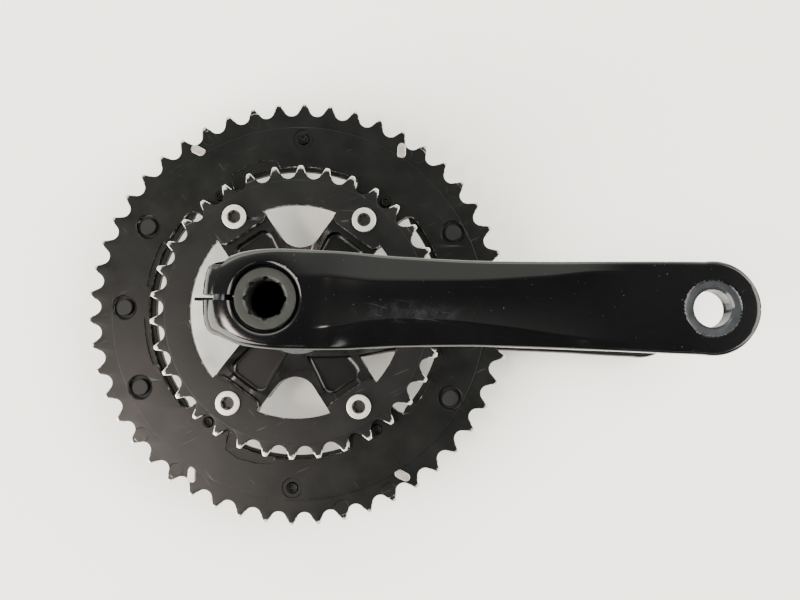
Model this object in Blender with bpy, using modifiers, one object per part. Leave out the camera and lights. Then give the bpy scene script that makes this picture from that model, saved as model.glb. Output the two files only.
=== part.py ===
"""A two-ring road bicycle crankset with a hollow spindle and a clamped left arm.

Frame: the origin is the centre of the flat outer face of the drive-side end cap, on the spindle's
axis.  +Z runs along the spindle to the left arm, +X along both arms to the pedal eyes.  Metres.
"""

import math

import bmesh
import bpy
from mathutils import Matrix, Vector

# ---------------------------------------------------------------- driving dimensions
CHAIN_PITCH = 0.0127
ROLLER_RADIUS = 0.00397
OUTER_TEETH = 50
INNER_TEETH = 34
OUTER_TIP_RADIUS = 0.1033
INNER_TIP_RADIUS = 0.0713
TOOTH_THICKNESS = 0.0021

BOLT_CIRCLE_RADIUS = 0.055
BOLT_ANGLES = [math.radians(angle) for angle in (55.0, 125.0, 235.0, 305.0)]

ARM_LENGTH = 0.170
EYE_RADIUS = 0.0178
EYE_HALF_SWEEP = math.radians(100)
PEDAL_HOLE_RADIUS = 0.0071
PEDAL_SEAT_RADIUS = 0.0103
PEDAL_SEAT_DEPTH = 0.0008

SPINDLE_RADIUS = 0.012
SPINDLE_BORE_RADIUS = 0.0094
GAP = 0.0003
REACH = 0.03

# ---------------------------------------------------------------- stations along the spindle
END_CAP_THICKNESS = 0.0022
HUB_OUTER_Z = 0.0005
HUB_INNER_Z = 0.018
DRIVE_EYE_OUTER_Z = -0.011
DRIVE_EYE_INNER_Z = 0.002
OUTER_RING_Z = 0.0161
OUTER_PLATE_TOP_Z = 0.0178
COVER_TOP_Z = 0.01475
COVER_LOW_Z = 0.0106
LOBE_LOW_Z = 0.0098
SPIDER_TAB_LOW_Z = 0.0181
SPIDER_TAB_TOP_Z = 0.0211
INNER_RING_Z = 0.0231
INNER_TAB_LOW_Z = 0.0214
INNER_TAB_TOP_Z = 0.0244
BOLT_HEAD_LOW_Z = 0.0247
BOLT_HEAD_TOP_Z = 0.0263
LEFT_INNER_Z = 0.108
LEFT_OUTER_Z = 0.129
LEFT_EYE_INNER_Z = 0.124
LEFT_EYE_OUTER_Z = 0.137
SPLINE_START_Z = 0.1096
SPINDLE_END_Z = 0.1236
CAP_SEAT_Z = 0.1242
CAP_TOP_Z = 0.1275
CAP_LOW_Z = 0.1125
INNER_SIDE_LOW_Z, INNER_SIDE_TOP_Z = 0.09, 0.15
RINGS_LOW_Z, RINGS_TOP_Z = 0.01, 0.03

# ---------------------------------------------------------------- chainrings
OUTER_BAND_RADIUS = 0.0915
OUTER_LAP_RADIUS = 0.080
OUTER_EDGE_RADII = (0.0714, 0.0730)
INNER_BAND_RADIUS = 0.0642
INNER_LAP_RADIUS = 0.058
INNER_EDGE_RADII = (0.0516, 0.0516)
INNER_BOSS_REACH = 0.046
INNER_BOSS_HALF_WIDTH = 0.0133
LOBE_REACH = 0.0449
LOBE_HALF_WIDTH = 0.0132
COVER_RADIUS = 0.0913
COVER_EDGE_RADII = (0.0699, 0.0704)
INSERT_FLANGE_RADIUS = 0.007
INSERT_SLEEVE_RADIUS = 0.005
INSERT_LOW_Z = 0.0122
TAB_HOLE_RADIUS = 0.0044
RING_BOLT_HOLE_RADIUS = 0.0043
BOLT_SHANK_RADIUS = 0.0039
BOLT_HEAD_RADIUS = 0.0059
BOLT_HEAD_CHAMFER = 0.0006
BOLT_SOCKET_RADII = (0.003, 0.0024)
BOLT_SOCKET_LOBES = 6
BOLT_SOCKET_FLOOR_Z = 0.0232
STUD_CIRCLE_RADIUS = 0.0854
STUD_ANGLES = [math.radians(angle) for angle in (-28.0, 0.0, 28.5, 152.0, 180.0, 207.0)]
STUD_RADIUS = 0.0039
STUD_POCKET_RADIUS = 0.0057
STUD_LOW_Z = 0.0125
COVER_RIVET_ANGLES = [math.radians(angle) for angle in (90.0, 270.0)]
COVER_RIVET_RADIUS = 0.0026
COVER_RIVET_TOP_Z = 0.0183
SHIFT_PIN_CIRCLE_RADIUS = 0.0944
SHIFT_PIN_ANGLES = [math.radians(angle) for angle in (59.0, 123.5, 238.5, 304.3)]
SHIFT_PIN_SIZE = (0.0072, 0.0035)
SHIFT_PIN_TURN = math.radians(30.0)
RAMP_RIVET_CIRCLE_RADIUS = 0.0690
RAMP_RIVET_ANGLES = [math.radians(angle) for angle in (53.0, 125.4, 232.5, 305.6)]
RAMP_RIVET_RADIUS = 0.0024
RAMP_RIVET_TOP_Z = 0.0186
DROP_PIN_X = 0.0795
DROP_PIN_RADIUS = 0.0024
DROP_PIN_LOW_Z = 0.0083

# ---------------------------------------------------------------- spider
SPIDER_HALF_WIDTH = 0.0133
SPIDER_TIP_RADIUS = 0.0635
SPIDER_TIP_ROUND = 0.006
SPIDER_NARROW_FILLET = 0.0114
SPIDER_WIDE_FILLET = 0.0180
SPIDER_POCKET_FLOOR_Z = 0.0152
HUB_RADIUS = 0.0205

# ---------------------------------------------------------------- left-arm clamp and cap
SPLINE_COUNT = 20
SPLINE_ROOT_RADIUS = 0.0107
SPLINE_TIP_RADIUS = 0.0115
SPLINE_CLEARANCE = 0.00035
SPLINE_HALF_ANGLE = math.radians(3.2)
SPLINE_BORE_HALF_ANGLE = math.radians(4.8)
LOCKING_HOLE_RADIUS = 0.0024
BOSS_RADIUS = 0.0168
BOSS_TOP_Z = 0.1100
CAP_RADIUS = 0.0122
CAP_SHANK_RADIUS = 0.0090
CAP_HOLE_RADIUS = 0.0075
CAP_NOTCHES = 8
CAP_NOTCH_RADIUS = 0.0012
COUNTERBORE_RADIUS = 0.0132
SLOT_WIDTH = 0.0023
SLOT_FROM_X = -0.0095
PINCH_X = -0.018
PINCH_INNER_Z = 0.1129
PINCH_OUTER_Z = 0.1231
PINCH_SHANK_RADIUS = 0.0029
PINCH_HEAD_RADIUS = 0.0045
PINCH_HEAD_FROM_Y = 0.0088
PINCH_HEAD_TO_Y = 0.0128
PINCH_TIP_Y = -0.0132
PINCH_TIP_CHAMFER = 0.0008
PINCH_SOCKET_RADIUS = 0.0029
PINCH_SOCKET_DEPTH = 0.0028
STOPPER_THICKNESS = 0.0012
STOPPER_LIFT = math.radians(14.0)
STOPPER_END_RADIUS = 0.0047
STOPPER_TIP_X = -0.0134

ROUND = 32


# ---------------------------------------------------------------- scene and materials
def clear_scene():
    """Remove every object and leftover collection."""
    for obj in list(bpy.data.objects):
        bpy.data.objects.remove(obj, do_unlink=True)
    for group in list(bpy.data.collections):
        bpy.data.collections.remove(group)


def new_collection(name):
    group = bpy.data.collections.new(name)
    bpy.context.scene.collection.children.link(group)
    return group


def make_material(name, rgb, roughness, metallic):
    material = bpy.data.materials.new(name)
    material.use_nodes = True
    shader = material.node_tree.nodes["Principled BSDF"]
    shader.inputs["Base Color"].default_value = (*rgb, 1.0)
    shader.inputs["Roughness"].default_value = roughness
    shader.inputs["Metallic"].default_value = metallic
    return material


# ---------------------------------------------------------------- outlines
def arc(centre, radius, start, end, count):
    """Points on a circle's arc, both ends included."""
    step = (end - start) / (count - 1)
    return [
        (centre[0] + radius * math.cos(angle), centre[1] + radius * math.sin(angle))
        for angle in (start + k * step for k in range(count))
    ]


def circle(radius, count=ROUND, centre=(0.0, 0.0)):
    return arc(centre, radius, 0.0, 2 * math.pi, count + 1)[:-1]


def turn_points(points, angle, shift=(0.0, 0.0)):
    """Outline points turned about the origin and then moved."""
    c, s = math.cos(angle), math.sin(angle)
    return [(shift[0] + c * x - s * y, shift[1] + s * x + c * y) for x, y in points]


def rounded(corners, steps=4):
    """An outline through corners (x, y, radius), each rounded by an arc of that radius."""
    points = []
    for k, (x, y, radius) in enumerate(corners):
        here = Vector((x, y))
        back = (Vector(corners[k - 1][:2]) - here).normalized()
        ahead = (Vector(corners[(k + 1) % len(corners)][:2]) - here).normalized()
        half = back.angle(ahead) / 2
        if radius <= 0 or half > math.radians(89):
            points.append((x, y))
            continue
        centre = here + (back + ahead).normalized() * (radius / math.sin(half))
        first = here + back * (radius / math.tan(half)) - centre
        last = here + ahead * (radius / math.tan(half)) - centre
        sweep = first.angle_signed(last)
        for n in range(steps + 1):
            spoke = Matrix.Rotation(-sweep * n / steps, 2) @ first
            points.append((centre.x + spoke.x, centre.y + spoke.y))
    return points


def tooth_outline(teeth, tip_radius):
    """A sprocket's outline: a roller seat between each pair of flat-tipped teeth."""
    pitch_radius = CHAIN_PITCH / 2 / math.sin(math.pi / teeth)
    seat = arc((pitch_radius, 0.0), ROLLER_RADIUS, math.radians(245), math.radians(115), 4)
    tip_half_angle = 0.0009 / tip_radius
    half_pitch = math.pi / teeth
    tip = [
        (tip_radius * math.cos(half_pitch + side), tip_radius * math.sin(half_pitch + side))
        for side in (-tip_half_angle, tip_half_angle)
    ]
    points = []
    for k in range(teeth):
        points += turn_points(seat + tip, 2 * half_pitch * k)
    return points


def lobed_loop(edge_radii, lobe, steps):
    """A ring's inner edge: short and long arcs, broken at each bolt by the lobe's (u, v) points."""
    points = []
    half = math.atan2(lobe[-1][1], lobe[-1][0])
    for k, angle in enumerate(BOLT_ANGLES):
        points += turn_points(lobe, angle)
        following = BOLT_ANGLES[(k + 1) % 4] + (2 * math.pi if k == 3 else 0.0)
        points += arc((0.0, 0.0), edge_radii[k % 2], angle + half, following - half, steps)[1:-1]
    return points


def spline_outline(root_radius, tip_radius, half_angle):
    """A splined shaft's section: flat-topped splines of the given half angle."""
    points = []
    for k in range(SPLINE_COUNT):
        middle = 2 * math.pi * (k + 0.5) / SPLINE_COUNT
        for radius, side in ((root_radius, -1.5), (tip_radius, -1.0), (tip_radius, 1.0), (root_radius, 1.5)):
            angle = middle + side * half_angle
            points.append((radius * math.cos(angle), radius * math.sin(angle)))
    return points


# ---------------------------------------------------------------- solids
def put(name, mesh, group):
    obj = bpy.data.objects.new(name, mesh)
    group.objects.link(obj)
    return obj


def as_mesh(source, group):
    """A curve or modified object as a plain closed mesh with its place in its points."""
    bpy.context.view_layer.update()
    evaluated = source.evaluated_get(bpy.context.evaluated_depsgraph_get())
    mesh = bpy.data.meshes.new_from_object(evaluated)
    mesh.transform(source.matrix_world)
    shape = bmesh.new()
    shape.from_mesh(mesh)
    bmesh.ops.remove_doubles(shape, verts=shape.verts, dist=0.000005)
    bmesh.ops.recalc_face_normals(shape, faces=shape.faces)
    shape.to_mesh(mesh)
    shape.free()
    name = source.name
    bpy.data.objects.remove(source, do_unlink=True)
    return put(name, mesh, group)


def slab(name, loops, low, high, group, lying=False):
    """A flat outline with any holes, extruded from low to high along Z, or along Y when lying."""
    curve = bpy.data.curves.new(name, "CURVE")
    curve.dimensions = "2D"
    curve.fill_mode = "BOTH"
    curve.extrude = (high - low) / 2
    for loop in loops:
        spline = curve.splines.new("POLY")
        spline.points.add(len(loop) - 1)
        for point, (x, y) in zip(spline.points, loop):
            point.co = (x, y, 0.0, 1.0)
        spline.use_cyclic_u = True
    obj = put(name, curve, group)
    middle = (low + high) / 2
    if lying:
        obj.rotation_euler = (math.pi / 2, 0.0, 0.0)
        obj.location = (0.0, middle, 0.0)
    else:
        obj.location = (0.0, 0.0, middle)
    return as_mesh(obj, group)


def turned(name, profile, group, steps=ROUND, closed=True):
    """A profile of (radius, z) points, down its outer side, turned about Z."""
    mesh = bpy.data.meshes.new(name)
    edges = [(k, k + 1) for k in range(len(profile) - 1)]
    if closed:
        edges.append((len(profile) - 1, 0))
    mesh.from_pydata([(radius, 0.0, z) for radius, z in profile], edges, [])
    obj = put(name, mesh, group)
    screw = obj.modifiers.new("turn", "SCREW")
    screw.axis = "Z"
    screw.steps = screw.render_steps = steps
    screw.use_merge_vertices = True
    screw.merge_threshold = 0.00001
    return as_mesh(obj, group)


def rods(name, places, radius, low, high, group, steps=20, axis="Z"):
    """One mesh of cylinders at (a, b) places, from low to high along the axis."""
    shape = bmesh.new()
    for a, b in places:
        if axis == "Z":
            frame = Matrix.Translation((a, b, (low + high) / 2))
        else:
            frame = Matrix.Translation((a, (low + high) / 2, b)) @ Matrix.Rotation(math.pi / 2, 4, "X")
        bmesh.ops.create_cone(shape, cap_ends=True, segments=steps, radius1=radius, radius2=radius,
                              depth=high - low, matrix=frame)
    mesh = bpy.data.meshes.new(name)
    shape.to_mesh(mesh)
    shape.free()
    return put(name, mesh, group)


def block(name, low, high, group):
    shape = bmesh.new()
    size = [b - a for a, b in zip(low, high)]
    middle = [(a + b) / 2 for a, b in zip(low, high)]
    bmesh.ops.create_cube(shape, size=1.0, matrix=Matrix.Translation(middle) @ Matrix.Diagonal((*size, 1.0)))
    mesh = bpy.data.meshes.new(name)
    shape.to_mesh(mesh)
    shape.free()
    return put(name, mesh, group)


def boolean(target, tool, operation):
    """Cut, join or intersect the target with a tool, which stays as a wire guide."""
    modifier = target.modifiers.new(tool.name, "BOOLEAN")
    modifier.operation = operation
    modifier.solver = "EXACT"
    modifier.object = tool
    tool.hide_render = True
    tool.display_type = "WIRE"


def round_edges(target, width, segments, angle=38.0):
    bevel = target.modifiers.new("edges", "BEVEL")
    bevel.width = width
    bevel.segments = segments
    bevel.limit_method = "ANGLE"
    bevel.angle_limit = math.radians(angle)
    bevel.use_clamp_overlap = True


def bolt_places(radius=BOLT_CIRCLE_RADIUS, angles=None):
    return [(radius * math.cos(a), radius * math.sin(a)) for a in (angles or BOLT_ANGLES)]


# ---------------------------------------------------------------- drive side
def make_drive_arm(parts, tools):
    """The right arm with its four-armed spider and hub, in one piece."""
    half_plan = [
        (-0.0195, 0.0), (-0.0175, 0.010), (-0.010, 0.019), (0.006, 0.0225), (0.028, 0.0215),
        (0.050, 0.0178), (0.090, 0.0160), (0.130, 0.0165), (0.158, 0.0174),
    ]
    eye = arc((ARM_LENGTH, 0.0), EYE_RADIUS, EYE_HALF_SWEEP, -EYE_HALF_SWEEP, 17)
    plan = half_plan + eye + [(x, -y) for x, y in reversed(half_plan[1:])]
    arm = slab("drive_arm", [plan], -0.02, 0.03, parts)
    side = [
        (-0.030, HUB_OUTER_Z), (0.024, HUB_OUTER_Z), (0.150, DRIVE_EYE_OUTER_Z), (0.200, DRIVE_EYE_OUTER_Z),
        (0.200, DRIVE_EYE_INNER_Z), (0.150, 0.0026), (0.066, 0.0088), (0.040, 0.0144), (0.022, 0.0172),
        (-0.030, 0.0172),
    ]
    boolean(arm, slab("arm_side", [side], -0.04, 0.04, tools, lying=True), "INTERSECT")
    round_edges(arm, 0.0032, 2)
    boolean(arm, make_spider(tools), "UNION")
    bore = rods("hub_bore", [(0.0, 0.0)], SPINDLE_RADIUS + GAP, -REACH, REACH, tools, ROUND)
    boolean(arm, bore, "DIFFERENCE")
    holes = rods("spider_holes", bolt_places(), TAB_HOLE_RADIUS, RINGS_LOW_Z, RINGS_TOP_Z, tools)
    boolean(arm, holes, "DIFFERENCE")
    cut_pedal_eye(arm, DRIVE_EYE_OUTER_Z, -1, tools)
    return arm


def make_spider(tools):
    """The spider: its plan outline cut from a turned dish, with a pocket in each arm's back."""
    corners = []
    for k, angle in enumerate(BOLT_ANGLES):
        for v in (-SPIDER_HALF_WIDTH, SPIDER_HALF_WIDTH):
            (x, y), = turn_points([(SPIDER_TIP_RADIUS, v)], angle)
            corners.append((x, y, SPIDER_TIP_ROUND))
        following = BOLT_ANGLES[(k + 1) % 4] + (2 * math.pi if k == 3 else 0.0)
        half_gap = (following - angle) / 2
        reach = SPIDER_HALF_WIDTH / math.sin(half_gap)
        fillet = SPIDER_NARROW_FILLET if half_gap < math.pi / 4 else SPIDER_WIDE_FILLET
        corners.append((reach * math.cos(angle + half_gap), reach * math.sin(angle + half_gap), fillet))
    spider = slab("spider", [rounded(corners, 6)], -0.01, 0.04, tools)
    dish = turned("spider_dish", [
        (0.0, 0.0175), (0.0265, 0.0172), (0.0435, SPIDER_TAB_TOP_Z), (0.070, SPIDER_TAB_TOP_Z),
        (0.070, SPIDER_TAB_LOW_Z), (0.0443, SPIDER_TAB_LOW_Z), (0.0443, 0.0095), (0.026, 0.0035),
        (0.0, 0.0025),
    ], tools, 48, closed=False)
    boolean(spider, dish, "INTERSECT")
    boss = turned("hub_boss", [
        (0.0, HUB_INNER_Z), (HUB_RADIUS - 0.0007, HUB_INNER_Z), (HUB_RADIUS, HUB_INNER_Z - 0.0006),
        (HUB_RADIUS + 0.002, 0.012), (HUB_RADIUS + 0.002, 0.006), (0.0, 0.006),
    ], tools, 48, closed=False)
    boolean(spider, boss, "UNION")
    pocket = rounded([(0.0255, -0.0068, 0.003), (0.0402, -0.0098, 0.0035), (0.0402, 0.0098, 0.0035),
                      (0.0255, 0.0068, 0.003)])
    for k, angle in enumerate(BOLT_ANGLES):
        plan = turn_points(pocket, angle)
        recess = slab(f"spider_pocket_{k + 1}", [plan], SPIDER_POCKET_FLOOR_Z, RINGS_TOP_Z, tools)
        boolean(spider, recess, "DIFFERENCE")
    return spider


def cut_pedal_eye(arm, face_z, outward, tools):
    """The pedal's hole and the shallow round seat on the arm's outer face."""
    place = [(ARM_LENGTH, 0.0)]
    low, high = face_z - REACH, face_z + REACH
    boolean(arm, rods(arm.name + "_pedal_hole", place, PEDAL_HOLE_RADIUS, low, high, tools, ROUND), "DIFFERENCE")
    low, high = sorted((face_z - outward * PEDAL_SEAT_DEPTH, face_z + outward * REACH))
    boolean(arm, rods(arm.name + "_pedal_seat", place, PEDAL_SEAT_RADIUS, low, high, tools, ROUND), "DIFFERENCE")


def make_spindle(parts, tools):
    """The hollow spindle, with splines and a locking hole at its left end."""
    start = END_CAP_THICKNESS + 2 * GAP
    tube = turned("spindle", [
        (SPINDLE_BORE_RADIUS, SPINDLE_END_Z), (SPLINE_ROOT_RADIUS - 0.0004, SPINDLE_END_Z),
        (SPLINE_ROOT_RADIUS, SPINDLE_END_Z - 0.0005), (SPLINE_ROOT_RADIUS, SPLINE_START_Z),
        (SPINDLE_RADIUS, SPLINE_START_Z - 0.0008), (SPINDLE_RADIUS, start + 0.0006),
        (SPINDLE_RADIUS - 0.0006, start), (SPINDLE_BORE_RADIUS, start),
    ], parts, 40)
    section = spline_outline(SPLINE_ROOT_RADIUS - 0.0004, SPLINE_TIP_RADIUS, SPLINE_HALF_ANGLE)
    core = circle(SPINDLE_BORE_RADIUS + 0.0005, 40)
    splines = slab("splines", [section, core], SPLINE_START_Z - 0.0006, SPINDLE_END_Z - 0.0012, tools)
    boolean(tube, splines, "UNION")
    hole = rods("locking_hole", [(0.0, 0.0)], LOCKING_HOLE_RADIUS, 0.0085, 0.0135, tools, 16)
    stand = Matrix.Rotation(-math.pi / 2, 4, "Y")
    hole.matrix_world = Matrix.Translation((0.0, 0.0, PINCH_INNER_Z + 0.005)) @ stand
    boolean(tube, hole, "DIFFERENCE")
    return tube


def make_end_cap(parts):
    radius = SPINDLE_RADIUS
    return turned("drive_end_cap", [
        (0.0, END_CAP_THICKNESS), (radius, END_CAP_THICKNESS), (radius, 0.0006), (radius - 0.0006, 0.0),
        (0.0, 0.0),
    ], parts, ROUND, closed=False)


# ---------------------------------------------------------------- chainrings
def lobe_points(reach, half_width, root_radius):
    """An inward lobe's (u, v) points, from its -v root round its end to its +v root."""
    shoulder = half_width * 1.18
    root = math.sqrt(root_radius**2 - shoulder**2)
    side = [(root, shoulder), (root - 0.0055, half_width), (reach + 0.005, half_width),
            (reach + 0.0015, half_width - 0.0015), (reach, half_width - 0.005)]
    return [(u, -v) for u, v in side] + side[::-1]


def make_outer_ring(parts, tools):
    """The big ring: a toothed plate, a thicker band with four lobes, and its holes."""
    low = OUTER_RING_Z - TOOTH_THICKNESS / 2
    teeth = tooth_outline(OUTER_TEETH, OUTER_TIP_RADIUS)
    ring = slab("outer_chainring", [teeth, circle(OUTER_LAP_RADIUS, 48)], low, low + TOOTH_THICKNESS, parts)
    inside = lobed_loop(OUTER_EDGE_RADII, lobe_points(LOBE_REACH, LOBE_HALF_WIDTH, OUTER_EDGE_RADII[0]), 10)
    band = slab("outer_band", [circle(OUTER_BAND_RADIUS, 60), inside], low + 0.0001, OUTER_PLATE_TOP_Z, tools)
    boolean(ring, band, "UNION")
    for name, places, radius, steps in (
        ("insert_holes", bolt_places(), INSERT_SLEEVE_RADIUS + GAP, 20),
        ("stud_holes", bolt_places(STUD_CIRCLE_RADIUS, STUD_ANGLES), STUD_POCKET_RADIUS, 12),
        ("rivet_holes", bolt_places(STUD_CIRCLE_RADIUS, COVER_RIVET_ANGLES), COVER_RIVET_RADIUS + GAP, 12),
        ("ramp_holes", bolt_places(RAMP_RIVET_CIRCLE_RADIUS, RAMP_RIVET_ANGLES), RAMP_RIVET_RADIUS + GAP, 12),
    ):
        boolean(ring, rods(name, places, radius, RINGS_LOW_Z, RINGS_TOP_Z, tools, steps), "DIFFERENCE")
    for k, angle in enumerate(SHIFT_PIN_ANGLES):
        hole = shift_pin_solid(f"shift_pin_hole_{k + 1}", angle, GAP, RINGS_LOW_Z, RINGS_TOP_Z, tools)
        boolean(ring, hole, "DIFFERENCE")
    return ring


def make_cover(parts, tools):
    """The moulded cover on the big ring's outer side, with six studs through the plate."""
    lobe = lobe_points(LOBE_REACH, LOBE_HALF_WIDTH, COVER_EDGE_RADII[0])
    inside = lobed_loop(COVER_EDGE_RADII, lobe, 10)
    cover = slab("ring_cover", [circle(COVER_RADIUS, 60), inside], LOBE_LOW_Z, COVER_TOP_Z, parts)
    relief = turned("cover_relief", [
        (0.0930, 0.0128), (0.0930, 0.0090), (0.0690, 0.0090), (0.0735, COVER_LOW_Z), (0.0860, COVER_LOW_Z),
    ], tools, 60)
    boolean(cover, relief, "DIFFERENCE")
    flange = INSERT_FLANGE_RADIUS + GAP
    pockets = rods("insert_pockets", bolt_places(), flange, INSERT_LOW_Z - GAP, RINGS_TOP_Z, tools)
    boolean(cover, pockets, "DIFFERENCE")
    places = bolt_places(STUD_CIRCLE_RADIUS, STUD_ANGLES)
    boolean(cover, rods("studs", places, STUD_RADIUS, STUD_LOW_Z, OUTER_PLATE_TOP_Z, tools, 12), "UNION")
    return cover


def shift_pin_solid(name, angle, grow, low, high, group):
    """An oblong pin, or its hole, set askew of the radius."""
    length, width = (size / 2 + grow for size in SHIFT_PIN_SIZE)
    straight = length - width
    ends = arc((straight, 0.0), width, -math.pi / 2, math.pi / 2, 7)
    ends += arc((-straight, 0.0), width, math.pi / 2, 3 * math.pi / 2, 7)
    centre = (SHIFT_PIN_CIRCLE_RADIUS * math.cos(angle), SHIFT_PIN_CIRCLE_RADIUS * math.sin(angle))
    return slab(name, [turn_points(ends, angle + SHIFT_PIN_TURN, centre)], low, high, group)


def make_ring_hardware(parts):
    """The shift pins, ramp rivets, cover rivets and chain-drop pin of the big ring."""
    low = OUTER_RING_Z - TOOTH_THICKNESS / 2 - 0.0001
    pins = [
        shift_pin_solid(f"shift_pin_{k + 1}", angle, 0.0, low, OUTER_PLATE_TOP_Z, parts)
        for k, angle in enumerate(SHIFT_PIN_ANGLES)
    ]
    rivets = []
    for name, circle_radius, angles, radius, top in (
        ("ramp_rivet", RAMP_RIVET_CIRCLE_RADIUS, RAMP_RIVET_ANGLES, RAMP_RIVET_RADIUS, RAMP_RIVET_TOP_Z),
        ("cover_rivet", STUD_CIRCLE_RADIUS, COVER_RIVET_ANGLES, COVER_RIVET_RADIUS, COVER_RIVET_TOP_Z),
    ):
        for k, place in enumerate(bolt_places(circle_radius, angles)):
            rivets.append(rods(f"{name}_{k + 1}", [place], radius, low + GAP, top, parts, 16))
    place = [(DROP_PIN_X, 0.0)]
    drop_pin = rods("chain_drop_pin", place, DROP_PIN_RADIUS, DROP_PIN_LOW_Z, COVER_LOW_Z - GAP, parts, 16)
    return pins, rivets, drop_pin


def make_inner_ring(parts, tools):
    """The small ring: a toothed plate with a raised inner band and four bolt bosses."""
    low = INNER_RING_Z - TOOTH_THICKNESS / 2
    teeth = tooth_outline(INNER_TEETH, INNER_TIP_RADIUS)
    ring = slab("inner_chainring", [teeth, circle(INNER_LAP_RADIUS, 40)], low, low + TOOTH_THICKNESS, parts)
    root = math.sqrt(INNER_EDGE_RADII[0] ** 2 - INNER_BOSS_HALF_WIDTH**2)
    flat = INNER_BOSS_HALF_WIDTH - 0.0016
    boss = [(root, -INNER_BOSS_HALF_WIDTH), (INNER_BOSS_REACH, -flat), (INNER_BOSS_REACH, flat),
            (root, INNER_BOSS_HALF_WIDTH)]
    band = slab("inner_band", [circle(INNER_BAND_RADIUS, 48), lobed_loop(INNER_EDGE_RADII, boss, 12)],
                INNER_TAB_LOW_Z, INNER_TAB_TOP_Z, tools)
    boolean(ring, band, "UNION")
    holes = rods("ring_bolt_holes", bolt_places(), RING_BOLT_HOLE_RADIUS, RINGS_LOW_Z, RINGS_TOP_Z, tools)
    boolean(ring, holes, "DIFFERENCE")
    return ring


def make_ring_fasteners(parts, tools):
    """Four bolts from the inner side, and the threaded inserts that they pull against."""
    lobes = star(*BOLT_SOCKET_RADII, BOLT_SOCKET_LOBES)
    bolts, inserts = [], []
    for k, (x, y) in enumerate(bolt_places()):
        bolt = turned(f"chainring_bolt_{k + 1}", [
            (0.0, BOLT_HEAD_TOP_Z), (BOLT_HEAD_RADIUS - BOLT_HEAD_CHAMFER, BOLT_HEAD_TOP_Z),
            (BOLT_HEAD_RADIUS, BOLT_HEAD_TOP_Z - BOLT_HEAD_CHAMFER),
            (BOLT_HEAD_RADIUS, BOLT_HEAD_LOW_Z), (BOLT_SHANK_RADIUS, BOLT_HEAD_LOW_Z),
            (BOLT_SHANK_RADIUS, INSERT_LOW_Z + 0.0014), (0.0, INSERT_LOW_Z + 0.0014),
        ], parts, 24, closed=False)
        socket = slab(f"bolt_socket_{k + 1}", [lobes], BOLT_SOCKET_FLOOR_Z, RINGS_TOP_Z, tools)
        boolean(bolt, socket, "DIFFERENCE")
        bore = BOLT_SHANK_RADIUS + GAP
        insert = turned(f"chainring_insert_{k + 1}", [
            (bore, OUTER_PLATE_TOP_Z), (INSERT_SLEEVE_RADIUS, OUTER_PLATE_TOP_Z),
            (INSERT_SLEEVE_RADIUS, COVER_TOP_Z), (INSERT_FLANGE_RADIUS, COVER_TOP_Z),
            (INSERT_FLANGE_RADIUS, INSERT_LOW_Z), (bore, INSERT_LOW_Z),
        ], parts, 20)
        for obj in (bolt, insert):
            obj.location = (x, y, 0.0)
        socket.location = (x, y, 0.0)
        bolts.append(bolt)
        inserts.append(insert)
    return bolts, inserts


def star(outer, inner, points):
    """A round-lobed key's outline."""
    return [
        (radius * math.cos(angle), radius * math.sin(angle))
        for k in range(2 * points)
        for radius, angle in [(outer if k % 2 == 0 else inner, math.pi * k / points)]
    ]


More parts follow.
